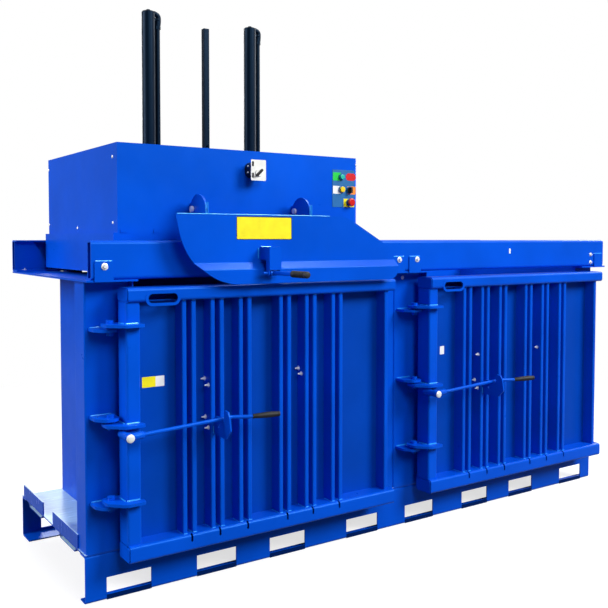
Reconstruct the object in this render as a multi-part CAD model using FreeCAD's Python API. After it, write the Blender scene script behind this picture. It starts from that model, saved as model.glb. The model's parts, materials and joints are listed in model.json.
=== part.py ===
import FreeCAD, Part
import math
import os

V = FreeCAD.Vector

# A two-chamber vertical baler. All sizes are in millimetres. X runs along the machine, +Y to its rear,
# +Z up. Inside this file Y is counted from the front face of the base and X from the middle of the base;
# on export everything is moved so that the origin lies under the centre of the whole machine.

# ---- base ----
BASE_DEPTH = 945.0
SKIRT_HEIGHT = 199.0
SKIRT_SHEET = 6.0
SKIRT_BEND = 6.0
FRONT_FLANGE = 60.0
REAR_FLANGE = 112.0
FLOOR_SHEET = 6.0
WINDOW_WIDTH = 200.0
WINDOW_HEIGHT = 73.0
WINDOW_SILL = 22.0
OUTER_LEFT_FORK = -621.0
INNER_LEFT_FORK = -204.0
INNER_RIGHT_FORK = 176.0
OUTER_RIGHT_FORK = 627.0
LIP_HEIGHT = 60.0
FRONT_LIP_START = 94.0
FRONT_LIP_END = 439.0
REAR_LIP_START = 591.0
REAR_LIP_END = 917.0
STIFFENER_WIDTH = 233.0
STIFFENER_DEPTH = 19.0
STIFFENER_SHEET = 4.0
STIFFENER_INSET = 112.0

# ---- chambers and posts ----
CHAMBER_PITCH = 1634.0
CHAMBER_WIDTH = 1212.0
WALL_SHEET = 6.0
WALL_HEIGHT = 1124.0
WALL_FRONT_REACH = 32.0
WALL_BEND = 10.0
END_POST_WIDTH = 194.0
POST_DEPTH = 120.0
POST_SHEET = 5.0
POST_CORNER = 9.0
MODULE_SEAM_X = 14.0
COLUMN_WIDTH = 80.0
COLUMN_DEPTH = 79.0
COLUMN_SHEET = 6.0
COLUMN_OFFSET = 530.0
COLUMN_START = 105.0

# ---- rails ----
BEARER_SHEET = 8.0
BEARER_TAB_WIDTH = 78.0
BEARER_TAB_RISE = 75.0
BEARER_TAB_SHEET = 6.0
END_TAB_INSET = 51.0
SEAM_TAB_LEFT = 45.0
SEAM_TAB_RIGHT = 62.0
RAIL_HEIGHT = 158.0
RAIL_SHEET = 8.0
RAIL_BEND = 8.0
RAIL_REACH = 85.0
RAIL_FLANGE = 79.0
FRONT_RAIL_TAIL = 139.0
REAR_RAIL_TAIL = 159.0
RAIL_STOP_SHEET = 6.0
RAIL_STOP_GAP = 11.0
RAIL_STOP_SLOPE = 62.0
RAIL_STOP_TOE = 36.0

# ---- travelling head ----
HEAD_SHIFT = 34.0
CARRIAGE_OVERHANG = 38.0
CARRIAGE_LIFT = 21.0
CARRIAGE_HEIGHT = 169.0
CARRIAGE_SHEET = 10.0
CARRIAGE_TOP_SHEET = 8.0
ROLLER_DIAMETER = 130.0
ROLLER_WIDTH = 38.0
ROLLER_INSET = 90.0
ROLLER_GROOVE = 4.0
AXLE_DIAMETER = 30.0
AXLE_COLLAR = 44.0
RUNNING_FIT = 0.05
FREE_GAP = 0.3
CABINET_INSET = 18.0
CABINET_HEIGHT = 373.0
CABINET_SHEET = 3.0
CABINET_CORNER = 22.0
CABINET_TOP_CORNER = 14.0
SIDE_PANEL_SHEET = 3.0
CYLINDER_DIAMETER = 64.0
CYLINDER_BORE = 50.0
CYLINDER_RISE = 1065.0
CYLINDER_CAP = 14.0
CYLINDER_SPACING = 563.0
CYLINDER_SHIFT = 2.0
GLAND_LENGTH = 45.0
MOUNT_FLANGE = 110.0
MOUNT_FLANGE_THICKNESS = 12.0
PIPE_DIAMETER = 24.0
PIPE_STANDOFF = 3.0
PIPE_DROP = 36.0
ROD_DIAMETER = 36.0
PISTON_LENGTH = 40.0
PISTON_TOP_CLEARANCE = 18.0

# ---- press plate ----
PLATE_SIDE_GAP = 16.0
PLATE_FRONT_GAP = 15.0
PLATE_HEIGHT = 132.0
PLATE_LIFT = 10.0
PLATE_SHEET = 12.0
PLATE_RIB = 10.0
ROD_SEAT = 100.0
PLATE_SADDLE = 140.0
PLATE_SPINE = 120.0
BAR_WIDTH = 30.0
BAR_WALL = 3.0
BAR_RISE = 1023.0
BAR_SHIFT = 26.0
BAR_GAP = 1.0
BAR_EYE = 12.0
BAR_EYE_DROP = 586.0

# ---- inside the cabinet ----
TANK_INSET = 65.0
TANK_SHEET = 4.0
TANK_LENGTH = 330.0
TANK_DEPTH = 260.0
TANK_HEIGHT = 230.0
FILLER_DIAMETER = 50.0
FILLER_INSET = 45.0
MOTOR_DIAMETER = 150.0
MOTOR_LENGTH = 210.0
PUMP_DIAMETER = 90.0
PUMP_LENGTH = 90.0
VALVE_LENGTH = 150.0
VALVE_DEPTH = 80.0
VALVE_HEIGHT = 70.0

# ---- hood ----
HOOD_SHEET = 3.0
HOOD_LEFT = -443.0
HOOD_RIGHT = 723.0
HOOD_LEAN = 68.0
HOOD_TOP_DROP = 24.0
HOOD_DOOR_GAP = 3.0
HOOD_BAND = 92.0
HOOD_REACH = 170.0
HOOD_STEP = 28.0
HOOD_LEFT_CORNER = 275.0
HOOD_RIGHT_CORNER = 52.0
HOOD_SHOULDER_CORNER = 120.0
HOOD_CROWN_CORNER = 200.0
HOOD_SHOULDER_DROP = 162.0
HOOD_CROWN_INSET = 297.0
PIVOT_REACH = 42.0
PIVOT_RISE = 103.0
PIVOT_DIAMETER = 16.0
EAR_RADIUS = 75.0
EAR_REACH = 88.0
EAR_SHEET = 8.0
EAR_DROP = 90.0
EAR_CENTRE_DROP = 14.0
LEFT_EAR_SHIFT = -299.0
RIGHT_EAR_SHIFT = 228.0
LUG_SHEET = 10.0
LUG_RADIUS = 26.0

# ---- hood latch ----
LATCH_SHIFT = -13.0
LATCH_WIDTH = 59.0
LATCH_PLATE = 4.0
LATCH_REACH = 250.0
LATCH_RISE = 67.0
LATCH_FACE = 99.0
LATCH_CHEEK_DROP = 55.0
LATCH_PIVOT_DROP = 13.0
LATCH_PIVOT_REACH = 232.0
LATCH_PIN = 12.0
LATCH_PIN_OVERHANG = 21.0
LATCH_EYE = 12.0
LATCH_HUB = 24.0
LATCH_HUB_WIDTH = 40.0
LATCH_BAR = 19.0
LATCH_BAR_LENGTH = 151.0
LATCH_GRIP = 29.0
LATCH_GRIP_LENGTH = 114.0

# ---- doors ----
DOOR_LEFT_LAP = 63.0
DOOR_RIGHT_LAP = 100.0
DOOR_BOTTOM_DROP = 12.0
DOOR_TOP_DROP = 24.0
DOOR_BACK = 38.0
TOP_TUBE_HEIGHT = 58.0
BOTTOM_TUBE_HEIGHT = 71.0
TUBE_REACH = 150.0
LEFT_TUBE_REACH = 133.0
LEFT_TUBE_WIDTH = 61.0
LEFT_TUBE_INSET = 4.0
LEFT_TUBE_CORNER = 10.0
UPRIGHT_INSET = 3.0
TUBE_WALL = 5.0
TUBE_CORNER = 14.0
PANEL_REACH = 65.0
PANEL_SHEET = 5.0
RIB_REACH = 130.0
RIB_WIDTH = 22.0
RIB_GAP = 22.0
RIB_WALL = 4.0
EDGE_RIB_WIDTH = 23.0
EDGE_STRIP_WIDTH = 28.0
SLOT_LENGTH = 130.0
SLOT_HEIGHT = 38.0
SLOT_INSET = 150.0
SLOT_DROP = 45.0
SLOT_RIM = 12.0
SLOT_RIM_SHEET = 8.0
SLOT_RIM_RAISE = 1.5
SLOT_DEPTH = 45.0
NOTCH_WIDTH = 9.0
NOTCH_DEPTH = 32.0

# ---- hinges ----
HINGE_LAP = 112.0
HINGE_REACH = 70.0
HINGE_PIN = 18.0
HINGE_HEAD = 30.0
HINGE_HEAD_HEIGHT = 13.0
LEAF_SHEET = 12.0
LEAF_GAP = 9.0
TOP_HINGE_DROP = 161.0
MIDDLE_HINGE_RISE = 575.0
BOTTOM_HINGE_RISE = 239.0
EYE_RADIUS = 36.0
FIXED_LEAF_LEFT = 65.0
FIXED_LEAF_RIGHT = 34.0
MOVING_LEAF_REACH = 176.0
MOVING_LEAF_RIGHT = 112.0
LEAF_HEEL = 52.0

# ---- door levers ----
LEVER_SHIFT = 21.0
LEVER_REACH = 208.0
LEVER_HEIGHT = 535.0
LEVER_PIN = 14.0
LEVER_HUB = 36.0
LEVER_HUB_LENGTH = 24.0
SLEEVE_DIAMETER = 25.0
SLEEVE_LENGTH = 62.0
LEVER_ROD = 12.0
LEVER_RISE = 22.0
LEVER_BEND_X = 448.0
GRIP_START_X = 552.0
GRIP_START_REACH = 233.0
GRIP_END_X = 664.0
GRIP_END_REACH = 270.0
GRIP_END_RISE = 43.0
GRIP_DIAMETER = 26.0
CATCH_SHEET = 8.0
CATCH_SHIFT = -283.0
CATCH_HOLE = 13.0
CATCH_REACH = 279.0
CATCH_NOTCH = 40.0
CATCH_HORN = 49.0
CATCH_TAIL = 73.0

# ---- controls ----
CONTROL_PANEL_WIDTH = 135.0
CONTROL_PANEL_DROP = 61.0
CONTROL_PANEL_HEIGHT = 182.0
CONTROL_PANEL_SHEET = 2.0
START_INSET = 52.0
START_DROP = 35.0
START_DIAMETER = 24.0
RESET_INSET = 53.0
RESET_DROP = 96.0
RESET_DIAMETER = 28.0
SELECTOR_INSET = 101.0
SELECTOR_DROP = 98.0
SELECTOR_DIAMETER = 30.0
STOP_INSET = 100.0
STOP_DROP = 158.0
STOP_DIAMETER = 39.0
BUTTON_HEIGHT = 12.0
STOP_HEIGHT = 26.0
STOP_STEM = 22.0
BUTTON_TRAVEL = 4.0
BUTTON_RING = 3.0
RING_HEIGHT = 6.0
ISOLATOR_SHIFT = 16.0
ISOLATOR_DROP = 88.0
ISOLATOR_WIDTH = 74.0
ISOLATOR_HEIGHT = 72.0
ISOLATOR_CORNER = 30.0
ISOLATOR_DEPTH = 60.0
ISOLATOR_KNOB_DROP = 14.0
ISOLATOR_KNOB_DIAMETER = 34.0
ISOLATOR_KNOB_HEIGHT = 14.0

# ---- levels and lines that follow from the sizes above ----
HALF_PITCH = CHAMBER_PITCH / 2
CHAMBERS = (-HALF_PITCH, HALF_PITCH)
WALL_OFFSET = CHAMBER_WIDTH / 2 + WALL_SHEET
INNER_WALL = CHAMBER_WIDTH / 2
HALF_BASE = HALF_PITCH + WALL_OFFSET + END_POST_WIDTH + FLOOR_SHEET
FLOOR_Z = SKIRT_HEIGHT + FLOOR_SHEET
WALL_TOP = FLOOR_Z + WALL_HEIGHT
RAIL_Z = WALL_TOP + BEARER_SHEET
RAIL_TOP = RAIL_Z + RAIL_HEIGHT
REAR_RAIL_FACE = BASE_DEPTH + RAIL_REACH
FORK_SHIFTS = (OUTER_LEFT_FORK, INNER_LEFT_FORK, INNER_RIGHT_FORK, OUTER_RIGHT_FORK)

HEAD_X = -HALF_PITCH - HEAD_SHIFT
CARRIAGE_LENGTH = CHAMBER_WIDTH + 2 * CARRIAGE_OVERHANG
CARRIAGE_LEFT = HEAD_X - CARRIAGE_LENGTH / 2
CARRIAGE_RIGHT = HEAD_X + CARRIAGE_LENGTH / 2
CARRIAGE_Z = RAIL_Z + CARRIAGE_LIFT
CARRIAGE_TOP = CARRIAGE_Z + CARRIAGE_HEIGHT
CABINET_LEFT = CARRIAGE_LEFT + CABINET_INSET
CABINET_RIGHT = CARRIAGE_RIGHT - CABINET_INSET
CABINET_TOP = CARRIAGE_TOP + CABINET_HEIGHT
ROLLER_Z = RAIL_Z + RAIL_SHEET + FREE_GAP + ROLLER_DIAMETER / 2
CYLINDER_Y = BASE_DEPTH / 2
CYLINDER_BOTTOM = CARRIAGE_TOP - CARRIAGE_TOP_SHEET - 6.0
CYLINDER_TOP = CARRIAGE_TOP + CYLINDER_RISE
PLATE_Z = CARRIAGE_Z + PLATE_LIFT
PLATE_TOP = PLATE_Z + PLATE_HEIGHT
PLATE_X = -HALF_PITCH
BAR_X = HEAD_X + BAR_SHIFT
BAR_TOP = CARRIAGE_TOP + BAR_RISE

RAIL_STOP_X = RAIL_STOP_GAP - (CARRIAGE_LEFT + ROLLER_INSET - ROLLER_DIAMETER / 2)
FRONT_RAIL_END = RAIL_STOP_X + FRONT_RAIL_TAIL
REAR_RAIL_END = RAIL_STOP_X + REAR_RAIL_TAIL
END_TAB_X = FRONT_RAIL_END - END_TAB_INSET

DOOR_BOTTOM_Z = SKIRT_HEIGHT - DOOR_BOTTOM_DROP
DOOR_TOP_Z = WALL_TOP - DOOR_TOP_DROP
DOOR_LEFT = -WALL_OFFSET - DOOR_LEFT_LAP
DOOR_RIGHT = WALL_OFFSET + DOOR_RIGHT_LAP
SLOT_CENTRE_X = DOOR_LEFT + SLOT_INSET
SLOT_CENTRE_Z = DOOR_TOP_Z - SLOT_DROP
RIB_PAIRS = (-400.0, -266.0, -128.0, 80.0, 221.0, 372.0)
HINGE_X = -WALL_OFFSET - HINGE_LAP
MIDDLE_HINGE_Z = DOOR_BOTTOM_Z + MIDDLE_HINGE_RISE
HINGE_LEVELS = (DOOR_TOP_Z - TOP_HINGE_DROP, MIDDLE_HINGE_Z, DOOR_BOTTOM_Z + BOTTOM_HINGE_RISE)
LEVER_Z = DOOR_BOTTOM_Z + LEVER_HEIGHT

PIVOT_Z = CARRIAGE_TOP + PIVOT_RISE
HOOD_X0 = HEAD_X + HOOD_LEFT
HOOD_X1 = HEAD_X + HOOD_RIGHT
HOOD_TOP_Z = PIVOT_Z - HOOD_TOP_DROP
HOOD_BOTTOM_Z = DOOR_TOP_Z + HOOD_DOOR_GAP
HOOD_FOLD_Z = HOOD_BOTTOM_Z + HOOD_BAND
LATCH_X = HEAD_X + LATCH_SHIFT
LATCH_TOP_Z = HOOD_FOLD_Z + LATCH_RISE
LATCH_BOTTOM_Z = LATCH_TOP_Z - LATCH_FACE
LATCH_PIVOT_Z = LATCH_BOTTOM_Z - LATCH_PIVOT_DROP
LATCH_BAR_END = LATCH_PIVOT_REACH + LATCH_BAR_LENGTH

PANEL_RIGHT = CABINET_RIGHT - CABINET_CORNER
PANEL_LEFT = PANEL_RIGHT - CONTROL_PANEL_WIDTH
PANEL_TOP = CABINET_TOP - CONTROL_PANEL_DROP
PANEL_BOTTOM = PANEL_TOP - CONTROL_PANEL_HEIGHT
START_AT = (PANEL_LEFT + START_INSET, PANEL_TOP - START_DROP)
RESET_AT = (PANEL_LEFT + RESET_INSET, PANEL_TOP - RESET_DROP)
SELECTOR_AT = (PANEL_LEFT + SELECTOR_INSET, PANEL_TOP - SELECTOR_DROP)
STOP_AT = (PANEL_LEFT + STOP_INSET, PANEL_TOP - STOP_DROP)
ISOLATOR_X = HEAD_X + ISOLATOR_SHIFT
ISOLATOR_Z = CABINET_TOP - ISOLATOR_DROP

FRONT_REACH = LATCH_BAR_END + LATCH_GRIP_LENGTH
CENTRE_Y = (REAR_RAIL_FACE + BEARER_TAB_SHEET - FRONT_REACH) / 2


# ---- drawing helpers ----
def spot(plane, u, v, w):
    """The point (u, v) of a plane, at the level w along the axis across it."""
    if plane == "xy":
        return V(u, v, w)
    if plane == "xz":
        return V(u, w, v)
    return V(w, u, v)


def prism(plane, points, start, end):
    """A closed outline of (u, v) or (u, v, corner radius) points, drawn out along the third axis."""
    corners = []
    count = len(points)
    for i, point in enumerate(points):
        here = spot(plane, point[0], point[1], start)
        radius = point[2] if len(point) > 2 else 0.0
        if radius <= 0:
            corners.append((here, None, here))
            continue
        before = points[i - 1]
        after = points[(i + 1) % count]
        back = (spot(plane, before[0], before[1], start) - here).normalize()
        ahead = (spot(plane, after[0], after[1], start) - here).normalize()
        half = back.getAngle(ahead) / 2
        reach = radius / math.tan(half)
        middle = (back + ahead).normalize()
        top = here + middle * (radius / math.sin(half) - radius)
        corners.append((here + back * reach, top, here + ahead * reach))
    edges = []
    for i, (arc_start, arc_top, arc_end) in enumerate(corners):
        if arc_top is not None:
            edges.append(Part.Arc(arc_start, arc_top, arc_end).toShape())
        following = corners[(i + 1) % count][0]
        if (following - arc_end).Length > 1e-6:
            edges.append(Part.LineSegment(arc_end, following).toShape())
    face = Part.Face(Part.Wire(edges))
    solid = face.extrude(spot(plane, 0, 0, end - start))
    if solid.Volume < 0:
        solid.reverse()
    return solid


def box(x0, x1, y0, y1, z0, z1):
    return Part.makeBox(x1 - x0, y1 - y0, z1 - z0, V(x0, y0, z0))


def rod_between(start, end, diameter):
    along = end - start
    return Part.makeCylinder(diameter / 2, along.Length, start, along)


def cylinder_x(x0, x1, y, z, diameter):
    return Part.makeCylinder(diameter / 2, x1 - x0, V(x0, y, z), V(1, 0, 0))


def cylinder_y(y0, y1, x, z, diameter):
    return Part.makeCylinder(diameter / 2, y1 - y0, V(x, y0, z), V(0, 1, 0))


def cylinder_z(z0, z1, x, y, diameter):
    return Part.makeCylinder(diameter / 2, z1 - z0, V(x, y, z0), V(0, 0, 1))


def joined(shapes):
    whole = shapes[0]
    if len(shapes) > 1:
        whole = shapes[0].fuse(shapes[1:])
    return whole.removeSplitter()


def folded(path, sheet, bend):
    """Closed outline of a sheet folded along an open path; the sheet lies to the left of the path."""
    count = len(path)
    normals = []
    for i in range(count - 1):
        du = path[i + 1][0] - path[i][0]
        dv = path[i + 1][1] - path[i][1]
        length = math.hypot(du, dv)
        normals.append((-dv / length, du / length))
    outer = [(path[0][0], path[0][1])]
    inner = [(path[0][0] + normals[0][0] * sheet, path[0][1] + normals[0][1] * sheet)]
    for i in range(1, count - 1):
        (ax, ay), (bx, by) = normals[i - 1], normals[i]
        scale = sheet / (1 + ax * bx + ay * by)
        moved = (path[i][0] + (ax + bx) * scale, path[i][1] + (ay + by) * scale)
        turns_left = ax * by - ay * bx > 0
        outer.append((path[i][0], path[i][1], bend + sheet if turns_left else bend))
        inner.append((moved[0], moved[1], bend if turns_left else bend + sheet))
    last = path[-1]
    outer.append((last[0], last[1]))
    inner.append((last[0] + normals[-1][0] * sheet, last[1] + normals[-1][1] * sheet))
    return outer + inner[::-1]


def rounded_bar(plane, u0, u1, v0, v1, start, end, corner):
    """A rectangular bar whose long edges are rounded."""
    return prism(plane, [(u0, v0, corner), (u1, v0, corner), (u1, v1, corner), (u0, v1, corner)],
                 start, end)


def box_section(plane, u0, u1, v0, v1, start, end, wall, corner):
    """A hollow rectangular tube with rounded corners."""
    inside = rounded_bar(plane, u0 + wall, u1 - wall, v0 + wall, v1 - wall, start, end,
                         max(corner - wall, 1.0))
    return rounded_bar(plane, u0, u1, v0, v1, start, end, corner).cut(inside)


def save(name, shapes):
    """Writes one node; every shape in the list stays a solid of its own."""
    solids = []
    for shape in shapes:
        moved = shape.copy()
        moved.translate(V(0, -CENTRE_Y, 0))
        solids.extend(moved.Solids)
    whole = solids[0] if len(solids) == 1 else Part.makeCompound(solids)
    whole.exportStep("parts/" + name + ".step")


# ---- base ----
def fork_windows(y0, y1):
    windows = []
    for chamber in CHAMBERS:
        for shift in FORK_SHIFTS:
            x = chamber + shift
            windows.append(box(x - WINDOW_WIDTH / 2, x + WINDOW_WIDTH / 2, y0, y1,
                               WINDOW_SILL, WINDOW_SILL + WINDOW_HEIGHT))
    return windows


def front_skirt():
    path = [(FRONT_FLANGE, SKIRT_HEIGHT), (0, SKIRT_HEIGHT), (0, 0), (FRONT_FLANGE, 0)]
    channel = prism("yz", folded(path, SKIRT_SHEET, SKIRT_BEND), -HALF_BASE, HALF_BASE)
    return channel.cut(fork_windows(-1, SKIRT_SHEET + SKIRT_BEND))


def rear_skirt():
    inner = BASE_DEPTH - REAR_FLANGE
    path = [(inner, 0), (BASE_DEPTH, 0), (BASE_DEPTH, SKIRT_HEIGHT),
            (BASE_DEPTH - FRONT_FLANGE, SKIRT_HEIGHT)]
    channel = prism("yz", folded(path, SKIRT_SHEET, SKIRT_BEND), -HALF_BASE, HALF_BASE)
    return channel.cut(fork_windows(BASE_DEPTH - SKIRT_SHEET - SKIRT_BEND, BASE_DEPTH + 1))


def floor_plate():
    pieces = [box(-HALF_BASE, HALF_BASE, 0, BASE_DEPTH, SKIRT_HEIGHT, FLOOR_Z)]
    for side in (-1, 1):
        edge = side * HALF_BASE
        inner = edge - side * FLOOR_SHEET
        low, high = sorted((edge, inner))
        for start, end in ((FRONT_LIP_START, FRONT_LIP_END), (REAR_LIP_START, REAR_LIP_END)):
            corner = FLOOR_SHEET
            lip = [(start, SKIRT_HEIGHT), (end, SKIRT_HEIGHT), (end, FLOOR_Z + LIP_HEIGHT, corner),
                   (start, FLOOR_Z + LIP_HEIGHT, corner)]
            pieces.append(prism("yz", lip, low, high))
    for start in (STIFFENER_INSET, BASE_DEPTH - STIFFENER_INSET - STIFFENER_WIDTH):
        end = start + STIFFENER_WIDTH
        low = SKIRT_HEIGHT - STIFFENER_DEPTH
        path = [(start, SKIRT_HEIGHT), (start + STIFFENER_DEPTH, low),
                (end - STIFFENER_DEPTH, low), (end, SKIRT_HEIGHT)]
        pieces.append(prism("yz", folded(path, STIFFENER_SHEET, STIFFENER_SHEET),
                            -HALF_BASE, HALF_BASE))
    return joined(pieces)


# ---- posts, chamber shells, rear columns ----
def post(x0, x1):
    return box_section("xy", x0, x1, 0, POST_DEPTH, FLOOR_Z, WALL_TOP, POST_SHEET, POST_CORNER)


def chamber_shell(x):
    left = x - WALL_OFFSET
    right = x + WALL_OFFSET
    path = [(left, -WALL_FRONT_REACH), (left, BASE_DEPTH), (right, BASE_DEPTH),
            (right, -WALL_FRONT_REACH)]
    path = path[::-1]
    return prism("xy", folded(path, WALL_SHEET, WALL_BEND), FLOOR_Z, WALL_TOP)


def rear_column(x):
    half = COLUMN_WIDTH / 2
    back = BASE_DEPTH + COLUMN_DEPTH
    path = [(x - half, BASE_DEPTH), (x - half, back), (x + half, back), (x + half, BASE_DEPTH)]
    return prism("xy", folded(path[::-1], COLUMN_SHEET, COLUMN_SHEET), COLUMN_START, RAIL_Z)


# ---- rails and what bears them ----
def bearer(x0, x1, tabs):
    front = -RAIL_REACH - BEARER_TAB_SHEET
    rear = REAR_RAIL_FACE + BEARER_TAB_SHEET
    pieces = [box(x0, x1, -RAIL_REACH, REAR_RAIL_FACE, WALL_TOP, RAIL_Z)]
    for x in tabs:
        tab = [(x - BEARER_TAB_WIDTH / 2, WALL_TOP), (x + BEARER_TAB_WIDTH / 2, WALL_TOP),
               (x + BEARER_TAB_WIDTH / 2, RAIL_Z + BEARER_TAB_RISE, BEARER_TAB_SHEET),
               (x - BEARER_TAB_WIDTH / 2, RAIL_Z + BEARER_TAB_RISE, BEARER_TAB_SHEET)]
        pieces.append(prism("xz", tab, front, -RAIL_REACH))
        pieces.append(prism("xz", tab, REAR_RAIL_FACE, rear))
    return joined(pieces)


def rail(x0, x1, face, inward, stop_side):
    """A channel open towards the machine, with a stop plate for the roller near its outer end."""
    edge = face + inward * RAIL_FLANGE
    path = [(edge, RAIL_Z), (face, RAIL_Z), (face, RAIL_TOP), (edge, RAIL_TOP)]
    if inward > 0:
        path = path[::-1]
    channel = prism("yz", folded(path, RAIL_SHEET, RAIL_BEND), x0, x1)
    end = x0 if stop_side < 0 else x1
    low = RAIL_Z + RAIL_SHEET
    high = RAIL_TOP - RAIL_SHEET
    foot = stop_side * RAIL_STOP_X
    stop = [(end, low), (foot, low), (foot, low + RAIL_STOP_TOE),
            (foot + stop_side * RAIL_STOP_SLOPE, high), (end, high)]
    middle = face + inward * (RAIL_SHEET + RAIL_FLANGE) / 2
    plate = prism("xz", stop, middle - RAIL_STOP_SHEET / 2, middle + RAIL_STOP_SHEET / 2)
    return joined([channel, plate])


# ---- travelling head ----
def roller_places():
    places = []
    for x in (CARRIAGE_LEFT + ROLLER_INSET, CARRIAGE_RIGHT - ROLLER_INSET):
        for face, inward in ((-RAIL_REACH, 1), (REAR_RAIL_FACE, -1)):
            places.append((x, face, inward))
    return places


def roller_span(face, inward):
    """Inner and outer Y of a roller, centred between the rail's web and the carriage."""
    carriage_face = 0.0 if inward > 0 else BASE_DEPTH
    web = face + inward * RAIL_SHEET
    middle = (web + carriage_face) / 2
    return middle - ROLLER_WIDTH / 2, middle + ROLLER_WIDTH / 2


def carriage_frame():
    sheet = CARRIAGE_SHEET
    deck = CARRIAGE_TOP - CARRIAGE_TOP_SHEET
    frame = box(CARRIAGE_LEFT, CARRIAGE_RIGHT, 0, BASE_DEPTH, CARRIAGE_Z, CARRIAGE_TOP)
    frame = frame.cut(box(CARRIAGE_LEFT + sheet, CARRIAGE_RIGHT - sheet, sheet, BASE_DEPTH - sheet,
                          CARRIAGE_Z, deck))
    holes = []
    for x in cylinder_places():
        holes.append(cylinder_z(deck, CARRIAGE_TOP, x, CYLINDER_Y, CYLINDER_DIAMETER))
    half = BAR_WIDTH / 2 + BAR_GAP
    holes.append(box(BAR_X - half, BAR_X + half, CYLINDER_Y - half, CYLINDER_Y + half,
                     deck, CARRIAGE_TOP))
    frame = frame.cut(holes)
    pieces = [frame]
    for x, face, inward in roller_places():
        near, far = roller_span(face, inward)
        if inward > 0:
            pieces.append(cylinder_y(near - 4.0, 1.0, x, ROLLER_Z, AXLE_DIAMETER))
            pieces.append(cylinder_y(far + FREE_GAP, 1.0, x, ROLLER_Z, AXLE_COLLAR))
        else:
            pieces.append(cylinder_y(BASE_DEPTH - 1.0, far + 4.0, x, ROLLER_Z, AXLE_DIAMETER))
            pieces.append(cylinder_y(BASE_DEPTH - 1.0, near - FREE_GAP, x, ROLLER_Z, AXLE_COLLAR))
    return joined(pieces)


def roller(x, face, inward):
    near, far = roller_span(face, inward)
    wheel = cylinder_y(near, far, x, ROLLER_Z, ROLLER_DIAMETER)
    bore = cylinder_y(near, far, x, ROLLER_Z, AXLE_DIAMETER + 2 * RUNNING_FIT)
    recess_face = near if inward > 0 else far - ROLLER_GROOVE
    recess = cylinder_y(recess_face, recess_face + ROLLER_GROOVE, x, ROLLER_Z, ROLLER_DIAMETER * 0.78)
    hub = cylinder_y(recess_face, recess_face + ROLLER_GROOVE, x, ROLLER_Z, AXLE_COLLAR + 12.0)
    return wheel.cut(recess.cut(hub)).cut(bore)


def cylinder_places():
    middle = HEAD_X + CYLINDER_SHIFT
    return (middle - CYLINDER_SPACING / 2, middle + CYLINDER_SPACING / 2)


def press_cylinder(x):
    tube = cylinder_z(CYLINDER_BOTTOM, CYLINDER_TOP, x, CYLINDER_Y, CYLINDER_DIAMETER)
    flange = cylinder_z(CARRIAGE_TOP, CARRIAGE_TOP + MOUNT_FLANGE_THICKNESS, x, CYLINDER_Y,
                        MOUNT_FLANGE)
    eye = cylinder_z(CYLINDER_TOP, CYLINDER_TOP + 8.0, x, CYLINDER_Y, 18.0)
    port = cylinder_z(CYLINDER_BOTTOM, CYLINDER_BOTTOM + GLAND_LENGTH, x, CYLINDER_Y,
                      ROD_DIAMETER + 2 * RUNNING_FIT)
    bore = cylinder_z(CYLINDER_BOTTOM + GLAND_LENGTH, CYLINDER_TOP - CYLINDER_CAP, x, CYLINDER_Y,
                      CYLINDER_BORE)
    rim = tube.Edges
    top_edges = [e for e in rim if abs(e.BoundBox.ZMin - CYLINDER_TOP) < 0.01
                 and abs(e.BoundBox.ZMax - CYLINDER_TOP) < 0.01]
    tube = tube.makeFillet(8.0, top_edges)
    return joined([tube, flange, eye]).cut([port, bore])


def oil_pipe(x):
    px = x + CYLINDER_DIAMETER / 2 + PIPE_STANDOFF + PIPE_DIAMETER / 2
    top = CYLINDER_TOP - PIPE_DROP
    pipe = cylinder_z(CARRIAGE_TOP + MOUNT_FLANGE_THICKNESS, top, px, CYLINDER_Y, PIPE_DIAMETER)
    knee = Part.makeSphere(PIPE_DIAMETER / 2 + 2.0, V(px, CYLINDER_Y, top))
    neck = cylinder_x(x + CYLINDER_DIAMETER / 2, px, CYLINDER_Y, top, PIPE_DIAMETER * 0.8)
    body = cylinder_z(CARRIAGE_TOP, CYLINDER_TOP, x, CYLINDER_Y, CYLINDER_DIAMETER)
    flange = cylinder_z(CARRIAGE_TOP, CARRIAGE_TOP + MOUNT_FLANGE_THICKNESS, x, CYLINDER_Y,
                        MOUNT_FLANGE)
    return joined([pipe, knee, neck]).cut([body, flange])


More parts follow.
